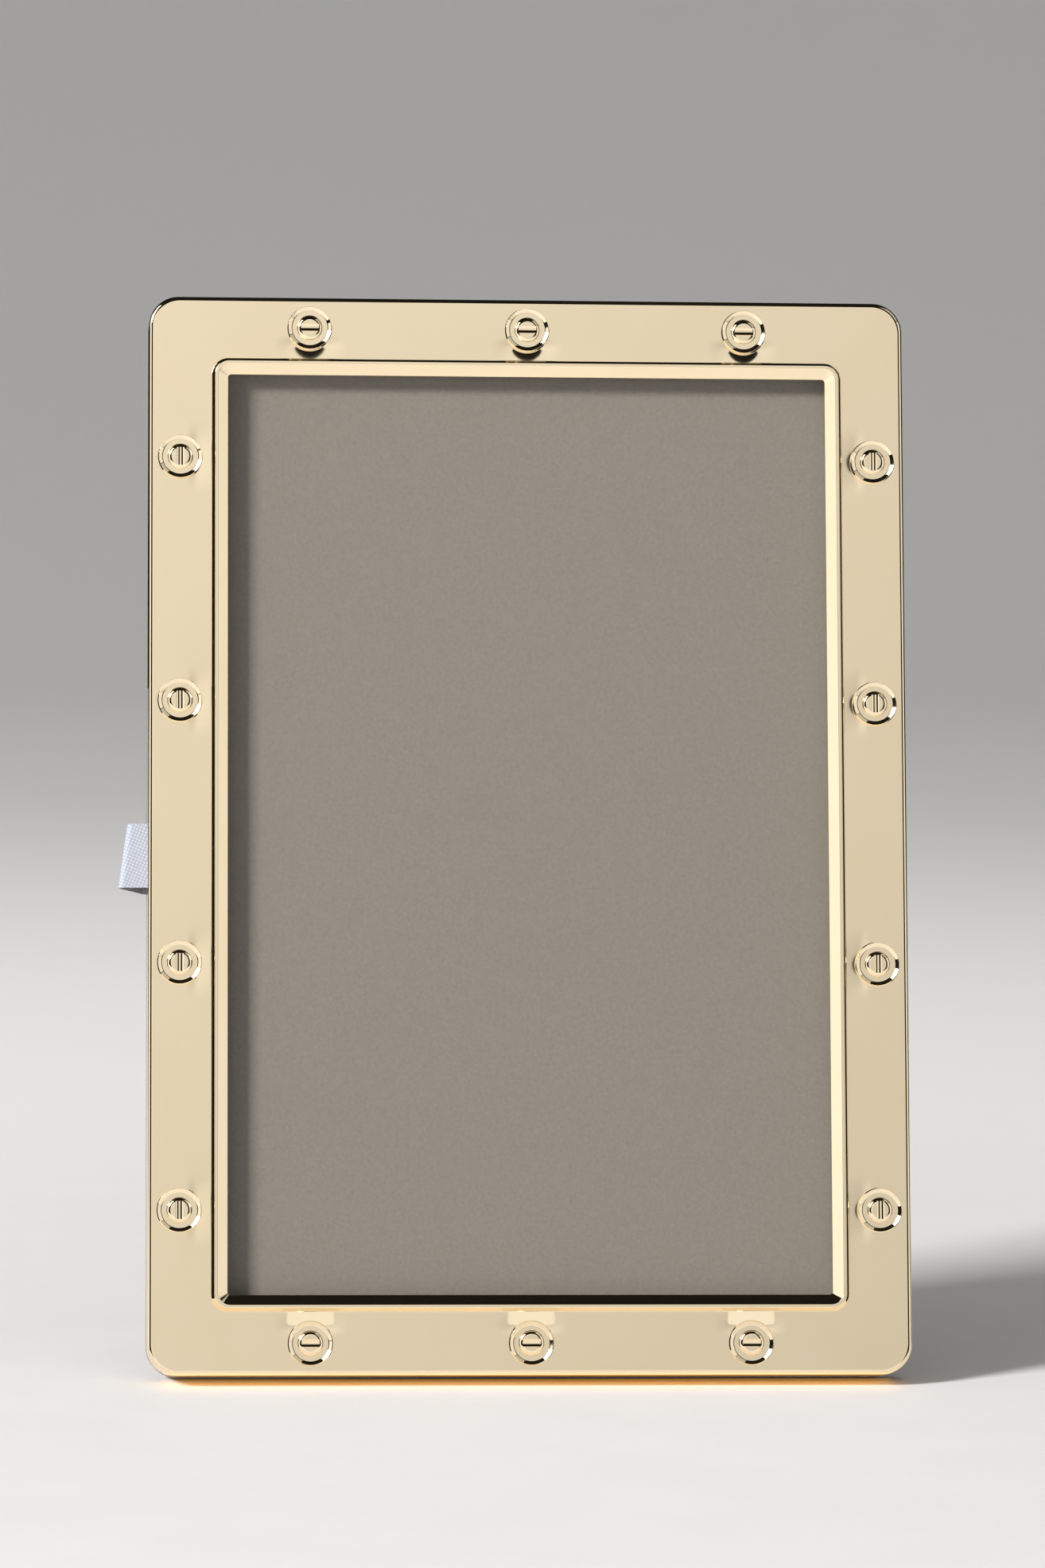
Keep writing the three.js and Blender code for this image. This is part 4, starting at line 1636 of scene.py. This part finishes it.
@dataclass(frozen=True)
class EaselStrut:
    """Easel leg: velvet over a board, a lining card on its inner face and a foot that stands flat."""

    axes: Axes
    sizes: StrutSizes

    def foot(self, depth: float) -> float:
        """Height along the strut at which it meets the table, at a given depth."""
        return -(self.axes.origin.z / MM + depth * self.axes.rear.z) / self.axes.up.z

    def outline(self, inset: float, depth: float, corner: float) -> list[Point2]:
        """Outline of the strut at one depth, wider towards the foot.

        Args:
            inset: Distance inside the outer outline.
            depth: Depth of the section, which sets where the foot ends.
            corner: Radius of the corners.

        Returns:
            The points of the outline.
        """
        s = self.sizes
        top, bottom = s.top - inset, self.foot(depth) + inset
        high, low = (s.top_width / 2 - inset + (s.top - z) * s.widening for z in (top, bottom))
        corners = ((high, top), (-high, top), (-low, bottom), (low, bottom))
        return rounded_polygon(corners, corner, s.corner_steps)

    def build(self, velvet: Material) -> None:
        """Builds the velvet wrap.

        Args:
            velvet: Its material.
        """
        s = self.sizes
        rings = []
        for inset, depth, corner in s.wrap.profile():
            rings.append([(x, depth, z) for x, z in self.outline(inset, depth, corner)])
        mesh = settle(loft(rings, closed=False), "strut_wrap", self.axes)
        wrap = add_piece("strut_wrap", mesh, Body.STRUT, ["strut_velvet"], velvet)
        length = s.top - self.foot(s.wrap.rear)
        width = s.top_width + length * s.widening
        s.wrap.cut(width, length)

    def dress(self, board: Material, lining: Material) -> None:
        """Gives the strut's board and lining their materials."""
        dress_node("strut_board", board)
        dress_node("strut_lining", lining)


# Stage


class Role(Enum):
    """What a light of the studio is for."""

    CARD = "only shows in the gold"
    FILL = "only lights the scene"


def direction(azimuth: float, elevation: float) -> Vector:
    """Unit vector away from the frame, in degrees to the right of straight ahead and above the table."""
    turn, lift = math.radians(azimuth), math.radians(elevation)
    return Vector((math.sin(turn) * math.cos(lift), -math.cos(turn) * math.cos(lift), math.sin(lift)))


def area_light(
    name: str, role: Role, size: Point2, radiance: float, place: Vector, away: Vector, colour: str = "#FFFFFF"
) -> None:
    """Puts an area light with an even radiance into the scene.

    Args:
        name: Name of the light.
        role: What it is for.
        size: Its width and height in metres.
        radiance: How bright it looks.
        place: Where its middle is.
        away: Direction that its back looks in.
        colour: Its colour.
    """
    data = bpy.data.lights.new(name, "AREA")
    data.shape = "RECTANGLE"
    data.size, data.size_y = size
    data.color = linear(colour)[:3]
    data.energy = radiance * math.pi * size[0] * size[1]
    lamp = bpy.data.objects.new(name, data)
    lamp.location = place
    lamp.rotation_euler = away.to_track_quat("Z", "Y").to_euler()
    lamp.visible_camera = False
    lamp.visible_glossy = role is not Role.FILL
    lamp.visible_diffuse = role is not Role.CARD
    bpy.context.scene.collection.objects.link(lamp)
    log.info("%s: %.4f W", name, data.energy)


@dataclass(frozen=True)
class Softbox:
    """Area light that looks at the frame from a direction in degrees, with its lengths in metres."""

    name: str
    role: Role
    azimuth: float
    elevation: float
    distance: float
    width: float
    height: float
    radiance: float

    def hang(self, target: Vector) -> None:
        """Puts the light into the scene.

        Args:
            target: Point that it faces.
        """
        away = direction(self.azimuth, self.elevation)
        size = (self.width, self.height)
        area_light(self.name, self.role, size, self.radiance, target + away * self.distance, away)


@dataclass(frozen=True)
class FootGlow:
    """Light that the floor and the lower edge of the gold throw at each other, with lengths in metres."""

    width: float = 0.116
    depth: float = 0.006
    under_edge: float = 0.0003
    over_floor: float = 0.0002
    on_floor: float = 0.38
    in_gold: float = 0.42
    colour: str = "#D99D40"
    sheen_size: Point2 = (0.5, 0.28)
    sheen_gap: float = 0.02
    sheen: float = 0.14

    def lay(self, axes: Axes, sizes: FrontSizes) -> None:
        """Lights the floor under the lower edge, and lets the gold mirror a warm foot and a bright floor.

        Args:
            axes: Axes of the front.
            sizes: Sizes of the front.
        """
        below = -sizes.height / 2 - self.under_edge / MM
        edge = axes.matrix @ Vector((0.0, sizes.depth / 2, below))
        foot = Vector((edge.x, edge.y + self.depth / 2, self.over_floor))
        ahead = Vector((edge.x, edge.y - self.sheen_gap - self.sheen_size[1] / 2, self.over_floor))
        down = Vector((0.0, 0.0, -1.0))
        strip = (self.width, self.depth * 2)
        area_light("glow_on_floor", Role.FILL, strip, self.on_floor, edge, axes.up, self.colour)
        area_light("glow_in_gold", Role.CARD, strip, self.in_gold, foot, down, self.colour)
        area_light("floor_sheen", Role.CARD, self.sheen_size, self.sheen, ahead, down)


@dataclass(frozen=True)
class Viewpoint:
    """Camera of the photograph: where it stands from the middle of the face and how it is turned."""

    azimuth: float = -4.5
    elevation: float = 4.7
    distance: float = 1.1
    yaw: float = -4.44
    pitch: float = -4.3
    roll: float = 0.61
    lens: float = 159.2
    clip: Point2 = (0.05, 60.0)

    def place(self, target: Vector) -> None:
        """Puts the camera into the scene.

        Args:
            target: Middle of the face.
        """
        camera = bpy.data.objects.new("camera", bpy.data.cameras.new("camera"))
        camera.data.lens = self.lens
        camera.data.clip_start, camera.data.clip_end = self.clip
        stand = target + direction(self.azimuth, self.elevation) * self.distance
        ahead = -direction(self.yaw, -self.pitch)
        turned = ahead.to_track_quat("-Z", "Y").to_matrix() @ Matrix.Rotation(math.radians(self.roll), 3, "Z")
        camera.matrix_world = Matrix.Translation(stand) @ turned.to_4x4()
        bpy.context.scene.collection.objects.link(camera)
        bpy.context.scene.camera = camera


@dataclass(frozen=True)
class FrontBoard:
    """Glowing board in front of the frame, behind the camera, which the face of the gold mirrors: a painted
    reflection that lights nothing.
    """

    distance: float = 2.0
    left: float = -0.75
    right: float = 0.68
    top: float = 1.32
    band: float = 0.295
    band_radiance: float = 0.97
    radiance: float = 0.765
    centre: Point2 = (0.18, 0.71)
    slope: Point2 = (-0.28, 0.2)

    def stand(self) -> None:
        """Puts the board into the scene; only mirrored rays see it."""
        mesh = bmesh.new()
        corners = ((self.left, 0.0), (self.right, 0.0), (self.right, self.top), (self.left, self.top))
        mesh.faces.new([mesh.verts.new((x, -self.distance, z)) for x, z in corners])
        board = link("front_board", settle(mesh, "front_board"))
        board.data.materials.append(self.glow())
        for ray in ("camera", "diffuse", "transmission", "volume_scatter", "shadow"):
            setattr(board, "visible_" + ray, False)

    def glow(self) -> Material:
        """Light of the board: an even band at its foot, and above it a gradient that fades right and down.

        Returns:
            The material, which glows and mirrors nothing.
        """
        material = bpy.data.materials.new("glowing_board_painted_reflection")
        material.use_nodes = True
        tree = material.node_tree
        tree.nodes.clear()
        place = add_node(tree, "ShaderNodeTexCoord").outputs["Object"]
        parts = add_node(tree, "ShaderNodeSeparateXYZ", {0: place}).outputs
        level = self.radiance - self.slope[0] * self.centre[0] - self.slope[1] * self.centre[1]
        for part, slope in zip((parts["X"], parts["Z"]), self.slope):
            level = add_node(tree, "ShaderNodeMath", {0: part, 1: slope, 2: level}, operation="MULTIPLY_ADD")
        above = add_node(tree, "ShaderNodeMath", {0: parts["Z"], 1: self.band}, operation="GREATER_THAN")
        strength = {0: above, 2: self.band_radiance, 3: level}
        light = {"Strength": add_node(tree, "ShaderNodeMix", strength, data_type="FLOAT")}
        add_node(tree, "ShaderNodeOutputMaterial", {"Surface": add_node(tree, "ShaderNodeEmission", light)})
        return material


@dataclass(frozen=True)
class Studio:
    """Pale floor that runs up into a cove, soft light, and a dark surrounding for the gold to mirror."""

    lights: tuple[Softbox, ...] = (
        Softbox("key_left", Role.FILL, -55.0, 29.0, 4.0, 0.8, 0.8, 108.0),
        Softbox("key_glint", Role.CARD, -59.0, 33.0, 4.0, 1.2, 1.2, 9.0),
        Softbox("key_halo", Role.CARD, -57.0, 39.0, 4.2, 1.7, 2.2, 3.0),
        Softbox("top_fill", Role.FILL, 0.0, 88.0, 3.0, 4.0, 4.0, 0.65),
        Softbox("left_card", Role.CARD, -79.0, 8.0, 1.2, 0.87, 1.4, 1.12),
        Softbox("right_card", Role.CARD, 68.0, 8.0, 1.2, 0.85, 1.2, 0.9),
        Softbox("high_card", Role.CARD, 66.0, 48.0, 1.4, 0.9, 0.6, 0.55),
    )
    surround: str = "#1C1B18"
    floor_radius: float = 1.75
    cove_radius: float = 4.0
    cove_steps: int = 64
    wall_height: float = 3.0
    steps_round: int = 96

    def build(self, target: Vector) -> None:
        """Builds floor, cove, lights, surrounding and camera.

        Args:
            target: Middle of the face.
        """
        finish = StudioFloor().make()
        curve = []
        for step in range(self.cove_steps + 1):
            turn = math.pi / 2 * step / self.cove_steps
            out, up = math.sin(turn), 1 - math.cos(turn)
            curve.append((self.floor_radius + self.cove_radius * out, self.cove_radius * up))
        floor = self.disc("floor", [(0.0, 0.0), (self.floor_radius, 0.0)], finish)
        cove = self.disc("cove", [*curve, (curve[-1][0], self.wall_height)], finish)
        cove.visible_glossy = False
        for light in self.lights:
            light.hang(target)
        FrontBoard().stand()
        world = bpy.data.worlds.new("surround")
        world.use_nodes = True
        world.node_tree.nodes["Background"].inputs["Color"].default_value = linear(self.surround)
        bpy.context.scene.world = world
        Viewpoint().place(target)
        bpy.context.scene.view_settings.view_transform = "Standard"

    def disc(self, name: str, section: Sequence[Point2], finish: Material) -> Object:
        """Surface that a section sweeps round the upright axis.

        Args:
            name: Name of the object.
            section: Points as (distance from the axis, height) in metres.
            finish: Its material.

        Returns:
            The object.
        """
        mesh = bmesh.new()
        turns = circle(self.steps_round)
        rings = []
        for radius, height in section:
            points = [(radius * math.cos(a), radius * math.sin(a), height) for a in turns]
            rings.append([mesh.verts.new(point) for point in points])
        for inner, outer in zip(rings, rings[1:]):
            bridge(mesh, outer, inner, ring=True)
        made = link(name, settle(mesh, name))
        made.data.materials.append(finish)
        return made


class PictureFrame:
    """The whole frame, piece by piece, with its stage."""

    GLASS_MIDDLE = 2.1

    def __init__(self) -> None:
        """Finds the axes of the sub-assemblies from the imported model."""
        self.front = front_axes(self.GLASS_MIDDLE)
        self.strut = strut_axes(self.front)
        self.hinge = Axes(self.strut.origin, self.front.rear, self.front.up)
        self.tree = ScatterTree()

    def build(self) -> None:
        """Builds and dresses every piece and sets the stage."""
        sizes, studs = FrontSizes(), StudPlan()
        gold, velvet, board = PlatedGold().make(), ShortPileVelvet().make(), RawFibreboard().make()
        brass, ribbon = RolledBrass().make(), WovenRibbon().make()
        lining = PressedCard("lining_card_pressed", "#71645B", "#5F544C", fibre=0.7).make()
        CastFront(self.front, sizes, studs, Hollow()).build(gold)
        places = studs.places(sizes.width, sizes.height)
        StudSet(self.front, places, StudSizes(), self.tree).build(gold)
        PictureStack().dress()
        back = VelvetBack(self.front, sizes)
        back.build(velvet)
        back.dress(board)
        RibbonPull(self.front, RibbonSizes(), -sizes.width / 2).build(ribbon)
        StrutHinge(self.hinge, self.strut, HingeSizes(), self.tree).build(brass)
        strut = EaselStrut(self.strut, StrutSizes())
        strut.build(velvet)
        strut.dress(board, lining)
        Studio().build(self.front.origin)
        FootGlow().lay(self.front, sizes)


def main() -> None:
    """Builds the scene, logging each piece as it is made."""
    PictureFrame().build()


if __name__ == "__main__":
    main()
